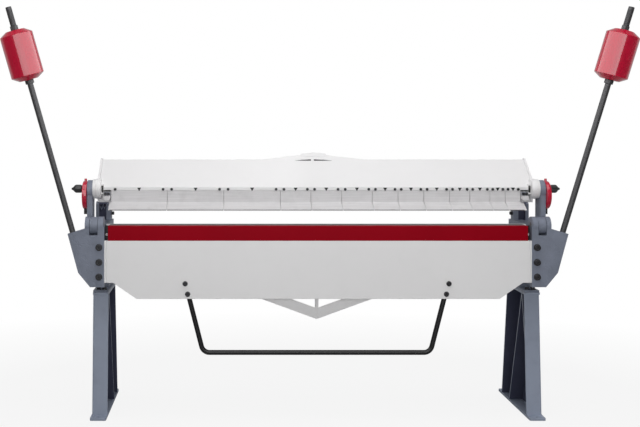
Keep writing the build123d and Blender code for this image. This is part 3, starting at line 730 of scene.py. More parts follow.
def loose_boxes(node: str) -> list[tuple[Vector, Vector]]:
    """Return the lowest and highest corners of each loose piece of a CAD node, by X."""
    work = Form(frame["nodes"][node].data).work
    bmesh.ops.remove_doubles(work, verts=work.verts, dist=SEAM)
    left = set(work.verts)
    boxes = []
    while left:
        group = [left.pop()]
        for vert in group:
            near = {edge.other_vert(vert) for edge in vert.link_edges} & left
            left -= near
            group.extend(near)
        low = Vector(min(vert.co[axis] for vert in group) for axis in range(3))
        high = Vector(max(vert.co[axis] for vert in group) for axis in range(3))
        boxes.append((low, high))
    work.free()
    return sorted(boxes, key=lambda box: tuple(box[0]))


class Layout(Tree):
    """A Geometry Nodes tree while it is being made."""

    def __init__(self, name: str) -> None:
        """Start a tree that takes a mesh and a material.

        Args:
            name: the tree's name.
        """
        super().__init__(bpy.data.node_groups.new(name, "GeometryNodeTree"))
        sockets = self.tree.interface
        sockets.new_socket("Geometry", in_out="OUTPUT", socket_type="NodeSocketGeometry")
        sockets.new_socket("Geometry", in_out="INPUT", socket_type="NodeSocketGeometry")
        sockets.new_socket("Material", in_out="INPUT", socket_type="NodeSocketMaterial")
        self.entry = self.tree.nodes.new("NodeGroupInput")
        self.exit = self.tree.nodes.new("NodeGroupOutput")

    def size(self, name: str, value: float) -> bpy.types.NodeSocket:
        """Add a named number to the tree's inputs and return its socket."""
        item = self.tree.interface.new_socket(name, in_out="INPUT", socket_type="NodeSocketFloat")
        item.default_value = value
        return self.entry.outputs[name]

    def turn(self, name: str) -> bpy.types.NodeSocket:
        """Add a named rotation to the tree's inputs and return its socket."""
        self.tree.interface.new_socket(name, in_out="INPUT", socket_type="NodeSocketRotation")
        return self.entry.outputs[name]

    def raised(
        self, shape: bpy.types.NodeSocket, height: bpy.types.NodeSocket
    ) -> bpy.types.NodeSocket:
        """Return a shape that is moved up."""
        offset = self.add("ShaderNodeCombineXYZ", Z=height)
        moved = self.add("GeometryNodeTransform", Geometry=shape, Translation=offset.outputs[0])
        return moved.outputs[0]

    def steps(self, pitch: bpy.types.NodeSocket) -> bpy.types.NodeSocket:
        """Return the tree's lines as curves with a point at every pitch."""
        line = self.add("GeometryNodeMeshToCurve", Mesh=self.entry.outputs["Geometry"])
        even = self.add(
            "GeometryNodeResampleCurve", {"mode": "LENGTH"}, Curve=line.outputs[0], Length=pitch
        )
        return even.outputs[0]

    def ring(self, radius: bpy.types.NodeSocket, sides: int) -> bpy.types.NodeSocket:
        """Return a round curve."""
        loop = self.add(
            "GeometryNodeCurvePrimitiveCircle", {"mode": "RADIUS"}, Resolution=sides, Radius=radius
        )
        return loop.outputs["Curve"]

    def close(
        self, points: bpy.types.NodeSocket, instance: bpy.types.NodeSocket, **turns: object
    ) -> bpy.types.NodeTree:
        """Set an instance on every point, and end the tree with real, painted meshes.

        Args:
            points: the points or curves that carry the instances.
            instance: the shape.
            turns: the instances' Rotation or Scale, and the Spin about their own Z axis.

        Returns:
            The tree.
        """
        spin = turns.pop("Spin", None)
        placed = self.add(
            "GeometryNodeInstanceOnPoints", Points=points, Instance=instance, **turns
        ).outputs[0]
        if spin:
            angles = self.add("ShaderNodeCombineXYZ", Z=spin)
            placed = self.add(
                "GeometryNodeRotateInstances", Instances=placed, Rotation=angles.outputs[0]
            ).outputs[0]
        real = self.add("GeometryNodeRealizeInstances", Geometry=placed)
        painted = self.add(
            "GeometryNodeSetMaterial",
            Geometry=real.outputs[0],
            Material=self.entry.outputs["Material"],
        )
        self.tree.links.new(painted.outputs[0], self.exit.inputs[0])
        return self.tree

    def chance(self, low: float, high: float, seed: int) -> bpy.types.NodeSocket:
        """Return a random number for each instance."""
        node = self.add("FunctionNodeRandomValue", {"data_type": "FLOAT"}, Seed=seed)
        node.inputs[2].default_value = low
        node.inputs[3].default_value = high
        return node.outputs[1]


def grow(
    name: str,
    tree: bpy.types.NodeTree,
    seeds: Sequence[Sequence[Vector]],
    slot: Slot,
    body: Body,
    *replaced: str,
    **sizes: object,
) -> bpy.types.Object:
    """Make a piece by running a tree on points or lines, and keep it as a plain mesh.

    Args:
        name: the piece's name.
        tree: the Geometry Nodes tree.
        seeds: runs of points, joined in order where a run has more than one.
        slot: the material slot.
        body: the body that it rides on.
        replaced: the CAD nodes that it stands for.
        sizes: the tree's inputs, by name with _ for a space.

    Returns:
        The piece.
    """
    points = [point for run in seeds for point in run]
    edges = []
    first = 0
    for run in seeds:
        edges += [(first + k, first + k + 1) for k in range(len(run) - 1)]
        first += len(run)
    mesh = bpy.data.meshes.new(name)
    mesh.from_pydata(points, edges, [])
    piece = add_object(name, mesh)
    grown = piece.modifiers.new("layout", "NODES")
    grown.node_group = tree
    values = {key.replace("_", " "): value for key, value in sizes.items()}
    values["Material"] = MATERIALS[slot]
    for item in tree.interface.items_tree:
        if item.in_out == "INPUT" and item.name in values:
            grown[item.identifier] = values[item.name]
    bake(piece)
    settle(piece, 32.0)
    return place(piece, slot, body, *replaced)


class Head(Enum):
    """The kinds of screw head."""

    SOCKET = "socket_head"
    HEXAGON = "hexagon_head"


def screw_tree(head: Head) -> bpy.types.NodeTree:
    """Make the tree that sets a screw head on every point.

    Args:
        head: the kind of head.

    Returns:
        The tree, with the head's sizes, its facing and a washer as inputs.
    """
    layout = Layout(head.value)
    radius = layout.size("Radius", 8 * MM)
    height = layout.size("Height", 5 * MM)
    edge = layout.size("Edge", 0.8 * MM)
    socket = layout.size("Socket", 4 * MM)
    washer = layout.size("Washer", 0.0)
    washer_height = layout.size("Washer Height", 1 * MM)
    look = layout.turn("Facing")
    straight = layout.math("SUBTRACT", height, edge)
    sides = 30 if head is Head.SOCKET else 6
    body = layout.add("GeometryNodeMeshCylinder", Vertices=sides, Radius=radius, Depth=straight)
    rise = layout.add(
        "GeometryNodeExtrudeMesh",
        Mesh=body.outputs["Mesh"],
        Selection=body.outputs["Top"],
        Offset_Scale=edge,
        Individual=False,
    )
    inner = layout.math("SUBTRACT", radius, edge)
    chamfer = layout.add(
        "GeometryNodeScaleElements",
        Geometry=rise.outputs["Mesh"],
        Selection=rise.outputs["Top"],
        Scale=layout.math("DIVIDE", inner, radius),
    )
    shape = chamfer.outputs[0]
    if head is Head.SOCKET:
        shape = hexagon_socket(layout, shape, rise.outputs["Top"], inner, socket, height)
    foot = layout.math("ADD", layout.math("MULTIPLY", straight, 0.5), washer_height)
    disc = layout.add(
        "GeometryNodeMeshCylinder", Vertices=32, Radius=washer, Depth=washer_height
    )
    seated = layout.raised(disc.outputs["Mesh"], layout.math("MULTIPLY", washer_height, 0.5))
    both = layout.add("GeometryNodeJoinGeometry")
    for part in (layout.raised(shape, foot), seated):
        layout.tree.links.new(part, both.inputs[0])
    return layout.close(
        layout.entry.outputs["Geometry"],
        both.outputs[0],
        Rotation=look,
        Spin=layout.chance(0.0, math.tau, seed=11),
    )


def hexagon_socket(
    layout: Layout,
    shape: bpy.types.NodeSocket,
    top: bpy.types.NodeSocket,
    radius: bpy.types.NodeSocket,
    socket: bpy.types.NodeSocket,
    height: bpy.types.NodeSocket,
) -> bpy.types.NodeSocket:
    """Sink a hexagonal socket into the top face of a screw head.

    Args:
        layout: the tree.
        shape: the head's mesh.
        top: the selection of its top face.
        radius: the top face's radius.
        socket: the distance from the socket's middle to its flats.
        height: the head's height, of which SOCKET_DEPTH is the socket's share.

    Returns:
        The mesh with its socket.
    """
    rim = layout.add(
        "GeometryNodeExtrudeMesh", Mesh=shape, Selection=top, Offset_Scale=0.0, Individual=False
    )
    spot = layout.add("GeometryNodeInputPosition")
    parts = layout.add("ShaderNodeSeparateXYZ", Vector=spot.outputs[0])
    turn = layout.math("ARCTAN2", parts.outputs["Y"], parts.outputs["X"])
    sixth = math.tau / 6
    within = layout.math("MODULO", layout.math("ADD", turn, math.tau), sixth)
    slant = layout.math("COSINE", layout.math("SUBTRACT", within, sixth / 2))
    factor = layout.math("DIVIDE", socket, layout.math("MULTIPLY", slant, radius))
    flat = layout.add(
        "ShaderNodeCombineXYZ",
        X=layout.math("MULTIPLY", parts.outputs["X"], factor),
        Y=layout.math("MULTIPLY", parts.outputs["Y"], factor),
        Z=parts.outputs["Z"],
    )
    moved = layout.add(
        "GeometryNodeSetPosition",
        Geometry=rim.outputs["Mesh"],
        Selection=rim.outputs["Top"],
        Position=flat.outputs[0],
    )
    sunk = layout.add(
        "GeometryNodeExtrudeMesh",
        Mesh=moved.outputs[0],
        Selection=rim.outputs["Top"],
        Offset_Scale=layout.math("MULTIPLY", height, -SOCKET_DEPTH),
        Individual=False,
    )
    return sunk.outputs["Mesh"]


SCREW_TREES: dict[Head, bpy.types.NodeTree] = {head: screw_tree(head) for head in Head}


@dataclass(frozen=True)
class Screw:
    """One kind of screw head, with its sizes in millimetres."""

    head: Head
    radius: float
    height: float
    edge: float
    socket: float = 4.0
    washer: float = 0.0
    washer_height: float = 1.0

    def set_on(
        self,
        name: str,
        points: Sequence[Vector],
        way: Vector,
        body: Body,
        *replaced: str,
        slot: Slot = Slot.FASTENER,
    ) -> bpy.types.Object:
        """Set a head on every point, all in one piece.

        Args:
            name: the piece's name.
            points: the middles of the heads' feet.
            way: the direction that the heads look in.
            body: the body that it rides on.
            replaced: the CAD nodes that it stands for.
            slot: the material slot.

        Returns:
            The piece.
        """
        return grow(
            name,
            SCREW_TREES[self.head],
            [[point] for point in points],
            slot,
            body,
            *replaced,
            Radius=self.radius * MM,
            Height=self.height * MM,
            Edge=self.edge * MM,
            Socket=self.socket * MM,
            Washer=self.washer * MM,
            Washer_Height=self.washer_height * MM,
            Facing=looking(way),
        )


def mark_tree() -> bpy.types.NodeTree:
    """Make the tree that sets a small triangle, pointing down, on every point."""
    layout = Layout("centre_marks")
    radius = layout.size("Radius", 8 * MM)
    thickness = layout.size("Thickness", 0.6 * MM)
    face = layout.add("GeometryNodeMeshCircle", {"fill_type": "NGON"}, Vertices=3, Radius=radius)
    solid = layout.add("GeometryNodeExtrudeMesh", Mesh=face.outputs[0], Offset_Scale=thickness)
    look = layout.turn("Facing")
    return layout.close(layout.entry.outputs["Geometry"], solid.outputs[0], Rotation=look)


def bead_tree() -> bpy.types.NodeTree:
    """Make the tree that lays a rippled weld bead along every line."""
    layout = Layout("weld_beads")
    radius = layout.size("Radius", 3.5 * MM)
    pitch = layout.size("Pitch", 4 * MM)
    drop = layout.add("GeometryNodeMeshIcoSphere", Radius=radius, Subdivisions=2)
    size = layout.chance(0.82, 1.12, seed=5)
    return layout.close(layout.steps(pitch), drop.outputs["Mesh"], Scale=size)


def thread_tree() -> bpy.types.NodeTree:
    """Make the tree that sets the crests of a thread round every line."""
    layout = Layout("thread_crests")
    radius = layout.size("Radius", 17 * MM)
    crest = layout.size("Crest", 1.2 * MM)
    pitch = layout.size("Pitch", 4 * MM)
    along = layout.add("GeometryNodeInputTangent").outputs[0]
    look = layout.add("FunctionNodeAlignRotationToVector", {"axis": "Z"}, Vector=along)
    loop, wire = layout.ring(radius, 40), layout.ring(crest, 4)
    hoop = layout.add("GeometryNodeCurveToMesh", Curve=loop, Profile_Curve=wire)
    return layout.close(layout.steps(pitch), hoop.outputs[0], Rotation=look.outputs[0])


@dataclass(frozen=True)
class Lamp:
    """One rectangular soft lamp."""

    name: str
    where: tuple[float, float, float]
    size: tuple[float, float]
    watts: float
    mirrored: bool = True

    def hang(self, target: Vector) -> None:
        """Hang the lamp so that it faces a point."""
        data = bpy.data.lights.new(self.name, "AREA")
        data.shape = "RECTANGLE"
        data.size, data.size_y = self.size
        data.energy = self.watts
        lamp = bpy.data.objects.new(self.name, data)
        lamp.location = self.where
        lamp.rotation_mode = "QUATERNION"
        lamp.rotation_quaternion = (target - Vector(self.where)).to_track_quat("-Z", "Y")
        lamp.visible_glossy = self.mirrored
        bpy.context.scene.collection.objects.link(lamp)


@dataclass
class Studio:
    """Pale floor, soft lamps and the camera of the photograph."""

    focal_pixels: float = 1000.0
    sight_pixel: tuple[float, float] = (229.0, 134.0)
    image_size: tuple[int, int] = (640, 427)
    camera_side: float = -0.538
    camera_ahead: float = 6.092
    camera_height: float = 1.736
    sensor: float = 36.0
    floor_color: float = 0.4
    floor_half: float = 40.0
    floor_stretch: tuple[float, float, float] = (0.7, 1.0, 1.0)
    floor_fade: tuple[float, float] = (1.6, 3.4)
    floor_glow: float = 0.88
    floor_mirrored: tuple[float, float] = (0.5, 3.5)
    world_light: float = 0.2
    world_mirrored: tuple[float, float] = (0.45, 1.0)
    reflector_size: tuple[float, float, float, float] = (-2.2, 1.45, 1.75, 3.4)
    reflector_back: tuple[float, float] = (-2.3, 0.9)
    reflector_foot: float = 2.0
    reflector_light: float = 3.4
    lamp_target: tuple[float, float, float] = (0.0, -0.3, 1.2)
    lamps: tuple[Lamp, ...] = (
        Lamp("overhead", (0.0, -1.4, 5.0), (5.5, 3.5), 128.0),
        Lamp("front", (0.0, -7.4, 1.95), (5.0, 2.6), 166.0),
        Lamp("rear", (0.0, 6.6, 2.8), (4.0, 2.4), 120.0, mirrored=False),
        Lamp("left", (-6.2, -0.6, 2.4), (4.0, 2.4), 60.0, mirrored=False),
        Lamp("right", (6.2, -0.6, 2.4), (4.0, 2.4), 60.0, mirrored=False),
    )

    def build(self) -> None:
        """Make the camera, the floor, the world and the lamps."""
        self.camera()
        self.floor()
        self.world()
        for lamp in self.lamps:
            lamp.hang(Vector(self.lamp_target))
        self.reflector()
        bpy.context.scene.view_settings.view_transform = "Standard"

    def camera(self) -> None:
        """Stand the camera level and square to the machine, with its frame shifted."""
        width, height = self.image_size
        data = bpy.data.cameras.new("camera")
        data.sensor_width = self.sensor
        data.lens = self.focal_pixels / width * self.sensor
        data.shift_x = (width / 2 - self.sight_pixel[0]) / width
        data.shift_y = (self.sight_pixel[1] - height / 2) / width
        data.clip_end = 100.0
        camera = bpy.data.objects.new("camera", data)
        camera.location = (self.camera_side, HINGE.y - self.camera_ahead, self.camera_height)
        camera.rotation_euler = (math.pi / 2, 0.0, 0.0)
        bpy.context.scene.collection.objects.link(camera)
        bpy.context.scene.camera = camera

    def floor(self) -> None:
        """Lay a pale floor that turns white away from the machine and keeps its shadow."""
        half = self.floor_half
        mesh = bpy.data.meshes.new("floor")
        corners = [(-half, -half, 0), (half, -half, 0), (half, half, 0), (-half, half, 0)]
        mesh.from_pydata(corners, [], [(0, 1, 2, 3)])
        floor = add_object("floor", mesh)
        recipe = Recipe("pale_floor")
        matte = recipe.dress(Base_Color=rgba((self.floor_color,) * 3), Roughness=0.9)
        glow = recipe.add("ShaderNodeEmission", Strength=1.0)
        reach = recipe.add("ShaderNodeVectorMath", {"operation": "LENGTH"})
        recipe.feed(reach.inputs[0], recipe.stretched(self.floor_stretch))
        fade = recipe.spread(reach.outputs["Value"], self.floor_glow, 1.0, *self.floor_fade)
        white = white_rays(recipe, recipe.place, *self.floor_mirrored)
        share = recipe.math("MULTIPLY", fade, white)
        mixed = recipe.shade(share, recipe.shader.outputs[0], glow.outputs[0])
        recipe.feed(recipe.surface, mixed)
        mesh.materials.append(matte)

    def world(self) -> None:
        """Make a world that the camera and reflections see as white."""
        world = bpy.data.worlds.new("studio")
        bpy.context.scene.world = world
        world.use_nodes = True
        tree = Tree(world.node_tree)
        background = tree.tree.nodes["Background"]
        background.inputs["Color"].default_value = rgba((1.0, 1.0, 1.0))
        background.inputs["Strength"].default_value = self.world_light
        white = tree.add("ShaderNodeBackground", Color=rgba((1.0, 1.0, 1.0)), Strength=1.0)
        look = tree.add("ShaderNodeTexCoord")
        share = white_rays(tree, look.outputs["Generated"], *self.world_mirrored)
        mixed = tree.shade(share, background.outputs[0], white.outputs[0])
        tree.feed(tree.tree.nodes["World Output"].inputs["Surface"], mixed)

    def reflector(self) -> None:
        """Stand two glowing panels that show only as highlights in gloss paint."""
        left, right, low, high = self.reflector_size
        front, back = self.reflector_back
        foot = self.reflector_foot
        mesh = bpy.data.meshes.new("reflector")
        flat = ((left, low), (right, low), (right, high), (left, high))
        upright = ((front, foot), (back, foot), (back, high), (front, high))
        corners = [(x, front, z) for x, z in flat] + [(0.0, y, z) for y, z in upright]
        mesh.from_pydata(corners, [], [(0, 1, 2, 3), (4, 5, 6, 7)])
        panel = add_object("reflector", mesh)
        recipe = Recipe("reflector_glow")
        glow = recipe.add("ShaderNodeEmission", Strength=self.reflector_light)
        recipe.feed(recipe.surface, glow.outputs[0])
        mesh.materials.append(recipe.made)
        panel.visible_camera = False
        panel.visible_diffuse = False
        panel.visible_transmission = False
        panel.visible_volume_scatter = False
        panel.visible_shadow = False


@dataclass
class Stands:
    """Both welded stands on their floor plates, with the side castings on them."""

    plate_edge: float = 1.5 * MM
    shell: tuple[float, float, float, float] = (1281.0, 1376.0, 21.0, 581.0)
    shell_wall: float = 6.0
    weld_lift: float = -1164.0
    bead: float = 3.2 * MM
    bead_pitch: float = 4.2 * MM
    brace_foot: float = 408.0
    brace_side: tuple[float, float] = (1285.0, 1362.0)
    pocket: tuple[float, float, float] = (1332.0, 1374.0, 393.0)
    pocket_foot: float = -22.0
    pocket_depth: float = 26.0
    zigzag: tuple[float, ...] = (98.0, 72.0, 98.0, 66.0, 90.0)
    rib_half: float = 4.0
    rib_depth: float = 16.0
    lug_bolt: tuple[float, float, float] = (1300.0, 398.0, 43.0)
    lug_screw: Screw = Screw(
        Head.SOCKET, 11.0, 15.0, 1.2, socket=5.0, washer=14.0, washer_height=2.0
    )

    def build(self) -> None:
        """Make the pieces of both stands."""
        for hand in Hand:
            for name in ("base_plate", "stand_shell", "stand_top_plate", "stand_brace"):
                piece = eased_copy(hand.node(name), Slot.STAND, Body.FRAME, self.plate_edge)
                if name in ("stand_shell", "stand_brace"):
                    self.paint_inside_shade(piece, hand)
            casting = eased_copy(hand.node("side_frame"), Slot.CASTING, Body.FRAME, 4 * MM, 3)
            self.paint_pocket_shade(casting)
            self.pocket_rib(hand)
        self.welds()
        self.lug_bolts()

    def paint_inside_shade(self, piece: bpy.types.Object, hand: Hand) -> None:
        """Paint the shade inside a stand: the faces that look into its hollow get the dark
        painted-shade material.

        Args:
            piece: a finished piece of the stand.
            hand: the end of the machine that it stands at.
        """
        piece.data.materials.append(PAINTED_INSIDE_SHADE)
        inside, outside, *_ = self.shell
        wall = self.shell_wall
        brace = "brace" in piece.name
        for face in piece.data.polygons:
            side = abs(face.center.x) / MM
            inward = face.normal.x * hand.value < -0.5
            flank = abs(face.normal.x) < 0.5 and side < outside - wall
            deep = brace or self.behind_front(face)
            # These faces lie in the stand's shade, so they get the painted shade.
            if (inward and side > inside + wall) or (flank and deep):
                face.material_index = 1

    def behind_front(self, face: bpy.types.MeshPolygon) -> bool:
        """Tell whether a face of the shell looks to its hollow."""
        _, _, front, back = self.shell
        hollow = HINGE.y + (front + back) / 2 * MM
        return (face.center.y - hollow) * face.normal.y <= 0

    def paint_pocket_shade(self, piece: bpy.types.Object) -> None:
        """Paint the shade in a post's pocket: its floor and walls get the dark painted-shade
        material.
        """
        piece.data.materials.append(PAINTED_INSIDE_SHADE)
        inside, outside, floor = self.pocket
        for face in piece.data.polygons:
            spot = (face.center - HINGE) / MM
            across = inside - 3 < abs(spot.x) < outside + 3
            within = floor - self.pocket_depth < spot.y < floor + 3
            # Faces in the pocket lie in shade, so they get the painted shade.
            if across and within and spot.z > self.pocket_foot:
                face.material_index = 1

    def pocket_rib(self, hand: Hand) -> None:
        """Cast a raised zigzag rib into the pocket of a post, in the lighter stand paint as a
        painted highlight.
        """
        inside, outside, floor = self.pocket
        half = self.rib_half
        step = (outside - inside) / (len(self.zigzag) - 1)
        form = Form()
        for number, (low, high) in enumerate(zip(self.zigzag, self.zigzag[1:])):
            near = hand.value * (inside + step * number)
            far = hand.value * (inside + step * (number + 1))
            outline = (
                (near, low - half),
                (far, high - half),
                (far, high + half),
                (near, low + half),
            )
            corners = [at(side, floor, lift) for side, lift in outline]
            form.prism(corners, FORWARD * self.rib_depth * MM, 1.5 * MM)
        # Painted highlight: the rib belongs to the casting, but takes the lighter stand paint so
        # that it shows as lit against the shaded pocket.
        form.finish(hand.node("post_rib"), Slot.STAND, Body.FRAME)

    def welds(self) -> None:
        """Lay weld beads where the shells and braces stand on their base plates."""
        inside, outside, front, back = self.shell
        shell = ((inside, front), (outside, front), (outside, back), (inside, back))
        brace = tuple((side, self.brace_foot) for side in self.brace_side)
        runs = [
            [at(hand.value * side, depth, self.weld_lift) for side, depth in line]
            for hand in Hand
            for line in (shell, brace)
        ]
        grow(
            "stand_welds",
            bead_tree(),
            runs,
            Slot.STAND,
            Body.FRAME,
            Radius=self.bead,
            Pitch=self.bead_pitch,
        )

    def lug_bolts(self) -> None:
        """Set the bolt on the inner side of each lug."""
        side, back, lift = self.lug_bolt
        for hand in Hand:
            spot = at(hand.value * side, back, lift)
            self.lug_screw.set_on(hand.node("lug_bolt"), [spot], hand.across(-1.0), Body.FRAME)


@dataclass
class Bed:
    """The bed, its steel rail, the truss under it and the pins and bolts of the frame."""

    shade_plate_side: tuple[float, float] = (1271.5, 1292.5)
    shade_plate_lift: tuple[float, float] = (-96.0, -1.0)
    cover_back: tuple[float, float] = (0.6, 4.0)
    adjuster_lift: float = -56.0
    adjuster: Screw = Screw(Head.HEXAGON, 7.5, 5.0, 0.6, washer=8.5)
    foot_screw: Screw = Screw(Head.HEXAGON, 13.0, 11.5, 1.2, washer=15.0, washer_height=2.4)

    def build(self) -> None:
        """Make the pieces of the bed."""
        eased_copy("bed_beam", Slot.WHITE, Body.FRAME, 2 * MM)
        eased_copy("bed_rail", Slot.STEEL, Body.FRAME, 1 * MM)
        for hand in Hand:
            eased_copy(hand.node("bed_truss_bar"), Slot.WHITE, Body.FRAME, 1.5 * MM)
        eased_copy("bed_truss_screw", Slot.WHITE, Body.FRAME, 1 * MM)
        eased_copy("hinge_pins", Slot.STEEL, Body.FRAME, 0.0)
        eased_copy("guide_pins", Slot.STEEL, Body.FRAME, 1 * MM)
        self.foot_bolts()
        self.end_shade_plates()

    def end_shade_plates(self) -> None:
        """Set dark plates on the ends of the bed's front as painted shade, each with an adjusting
        screw.
        """
        inside, outside = self.shade_plate_side
        low, high = self.shade_plate_lift
        front, back = self.cover_back
        spots = []
        for hand in Hand:
            left, right = sorted((hand.value * inside, hand.value * outside))
            form = Form()
            # The black plate is painted shade: it stands for the shade in the gap between the
            # bar's end and the casting.
            form.box(at(left, front, low), at(right, back, high), 0.6 * MM)
            form.finish(hand.node("bed_end_shade_plate"), Slot.BLACK, Body.FRAME)
            spots.append(at((left + right) / 2, front, self.adjuster_lift))
        self.adjuster.set_on("bed_adjusters", spots, FORWARD, Body.FRAME, slot=Slot.FINGER)

    def foot_bolts(self) -> None:
        """Set hexagon heads with washers where the castings stand on the stands."""
        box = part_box("foot_bolts")
        middles = [(low + high) / 2 for low, high in loose_boxes("foot_bolts")]
        spots = [Vector((middle.x, middle.y, box[0][2])) for middle in middles]
        self.foot_screw.set_on("foot_bolt_heads", spots, UP, Body.FRAME, "foot_bolts")


@dataclass
class Beam:
    """The clamping beam's shell and the truss behind its sloping panel."""

    panel_top: tuple[float, float] = (308.0, 394.0)
    panel_lean: float = 39.7
    gap_reach: dict[Hand, tuple[float, float]] = field(
        default_factory=lambda: {Hand.LEFT: (-14.0, -116.0), Hand.RIGHT: (4.0, 120.0)}
    )
    gap_outline: tuple[tuple[float, float], ...] = (
        (0.0, -0.5),
        (0.0, -13.5),
        (0.5, -13.0),
        (1.0, -12.0),
        (0.55, -5.0),
    )
    plate_behind: float = 12.0
    plate_outline: tuple[tuple[float, float], ...] = (
        (-78.0, 40.0),
        (-78.0, 64.0),
        (-72.0, 69.5),
        (-25.0, 70.5),
        (-8.0, 77.0),
        (2.0, 80.0),
        (24.0, 78.0),
        (80.0, 71.0),
        (88.0, 65.0),
        (88.0, 40.0),
    )

    def build(self) -> None:
        """Make the shell and the truss."""
        eased_copy("beam_shell", Slot.WHITE, Body.BEAM, 3 * MM, 3)
        eased_copy("beam_truss", Slot.WHITE, Body.BEAM, 1.5 * MM)
        eased_copy("beam_truss_screw", Slot.WHITE, Body.BEAM, 1 * MM)
        self.truss_gaps()
        self.truss_plate()

    def panel_way(self, turn: float) -> Vector:
        """Return a direction in the plane across the panel, in degrees from along its slope."""
        angle = math.radians(self.panel_lean + turn)
        return Vector((0.0, math.cos(angle), math.sin(angle)))

    def on_panel(self, side: float, rise: float, out: float) -> Vector:
        """Return a point so far beside, up from and in front of the panel's top edge."""
        offset = self.panel_way(0.0) * rise + self.panel_way(90.0) * out
        return at(side, *self.panel_top) + offset * MM

    def truss_gaps(self) -> None:
        """Make the two black slivers of painted shade where the truss rises from the panel's top
        edge.
        """
        for hand, (inner, outer) in self.gap_reach.items():
            corners = [
                self.on_panel(inner + share * (outer - inner), rise, 0.1)
                for share, rise in self.gap_outline
            ]
            form = Form()
            form.prism(corners, self.panel_way(90.0) * 0.5 * MM)
            # The slivers are painted shade: they stand for the shade seen through the gaps.
            form.finish(hand.node("truss_gap_shade"), Slot.BLACK, Body.BEAM)

    def truss_plate(self) -> None:
        """Make the small plate on the middle of the truss."""
        corners = [self.on_panel(*spot, -self.plate_behind) for spot in self.plate_outline]
        form = Form()
        form.prism(corners, self.panel_way(90.0) * 1.5 * MM)
        form.finish("truss_middle_plate", Slot.WHITE, Body.BEAM)


@dataclass
class Fingers:
    """The row of clamping fingers, with their screws and centre marks."""

    screw_insets: dict[str, float] = field(
        default_factory=lambda: {
            "fingers_350": 26.0,
            "fingers_190": 22.0,
            "fingers_160": 19.0,
            "fingers_125": 17.0,
            "fingers_95": 15.5,
        }
    )
    land_top: float = 93.5
    face_back: float = 108.0
    screw_lift: float = 213.5
    screw: Screw = Screw(Head.SOCKET, 8.5, 7.0, 1.0)
    mark_lift: float = 216.0
    mark_radius: float = 14.5 * MM
    mark_thickness: float = 1.2 * MM
    horn_side: float = 1269.0
    horn_reach: dict[Hand, tuple[float, float]] = field(
        default_factory=lambda: {Hand.LEFT: (7.0, 9.0), Hand.RIGHT: (13.0, 18.0)}
    )
    horn_split: float = 110.0
    horn_section: tuple[tuple[float, float], ...] = (
        (18.5, 88.5),
        (18.5, 92.5),
        (107.0, 133.0),
        (107.0, 118.0),
        (40.0, 88.5),
    )

    def build(self) -> None:
        """Make the fingers and what is on them."""
        screws, marks = [], []
        for group, inset in self.screw_insets.items():
            self.shade_nose_land(eased_copy(group, Slot.FINGER, Body.BEAM, 2.8 * MM, 1))
            for low, high in loose_boxes(group):
                screws += [low.x / MM + inset, high.x / MM - inset]
                marks.append((low.x + high.x) / 2 / MM)
        spots = [at(side, self.face_back, self.screw_lift) for side in sorted(screws)]
        self.screw.set_on("finger_screws", spots, FORWARD, Body.BEAM)
        self.marks(sorted(marks))
        self.horns()

    def shade_nose_land(self, fingers: bpy.types.Object) -> None:
        """Paint the shade on the land along the fingers' tips, with the darker bare steel."""
        fingers.data.materials.append(MATERIALS[Slot.STEEL])
        for face in fingers.data.polygons:
            # The land faces forward under the noses and lies in shade; its dark steel is painted
            # shade.
            if (face.center.z - HINGE.z) / MM < self.land_top and face.normal.y < -0.3:
                face.material_index = 1

    def marks(self, middles: Sequence[float]) -> None:
        """Set a small triangle, pointing down, over the middle of every finger."""
        point_down = Matrix.Rotation(math.radians(-90), 3, "Z")
        grow(
            "finger_marks",
            mark_tree(),
            [[at(side, self.face_back, self.mark_lift)] for side in middles],
            Slot.BLACK,
            Body.BEAM,
            Radius=self.mark_radius,
            Thickness=self.mark_thickness,
            Facing=(looking(FORWARD).to_matrix() @ point_down).to_euler(),
        )

    def horns(self) -> None:
        """Make the horns that stand out from the noses of the two end fingers."""
        for hand, (low_reach, high_reach) in self.horn_reach.items():
            form = Form()
            side = hand.value * self.horn_side
            corners = [at(side, back, lift) for back, lift in self.horn_section]
            form.prism(corners, hand.across(low_reach + 1.0) * MM)
            for vert in form.work.verts:
                spot = (vert.co - HINGE) / MM
                if abs(spot.x) > self.horn_side + 1.0 and spot.z > self.horn_split:
                    vert.co += hand.across(high_reach - low_reach) * MM
            ease(form.work, 0.8 * MM, 1, 30.0)
            form.finish(hand.node("finger_horn"), Slot.FINGER, Body.BEAM)


@dataclass(frozen=True)
class Block:
    """One box of an end block, with its sizes in millimetres."""

    inset: float
    back: tuple[float, float]
    lift: tuple[float, float]
    edge: float = 1.0

    def add_to(self, form: Form, low: float, high: float) -> None:
        """Add the box to a form, inset from two sides."""
        near, far = self.back
        foot, top = self.lift
        start, end = at(low + self.inset, near, foot), at(high - self.inset, far, top)
        form.box(start, end, self.edge * MM)


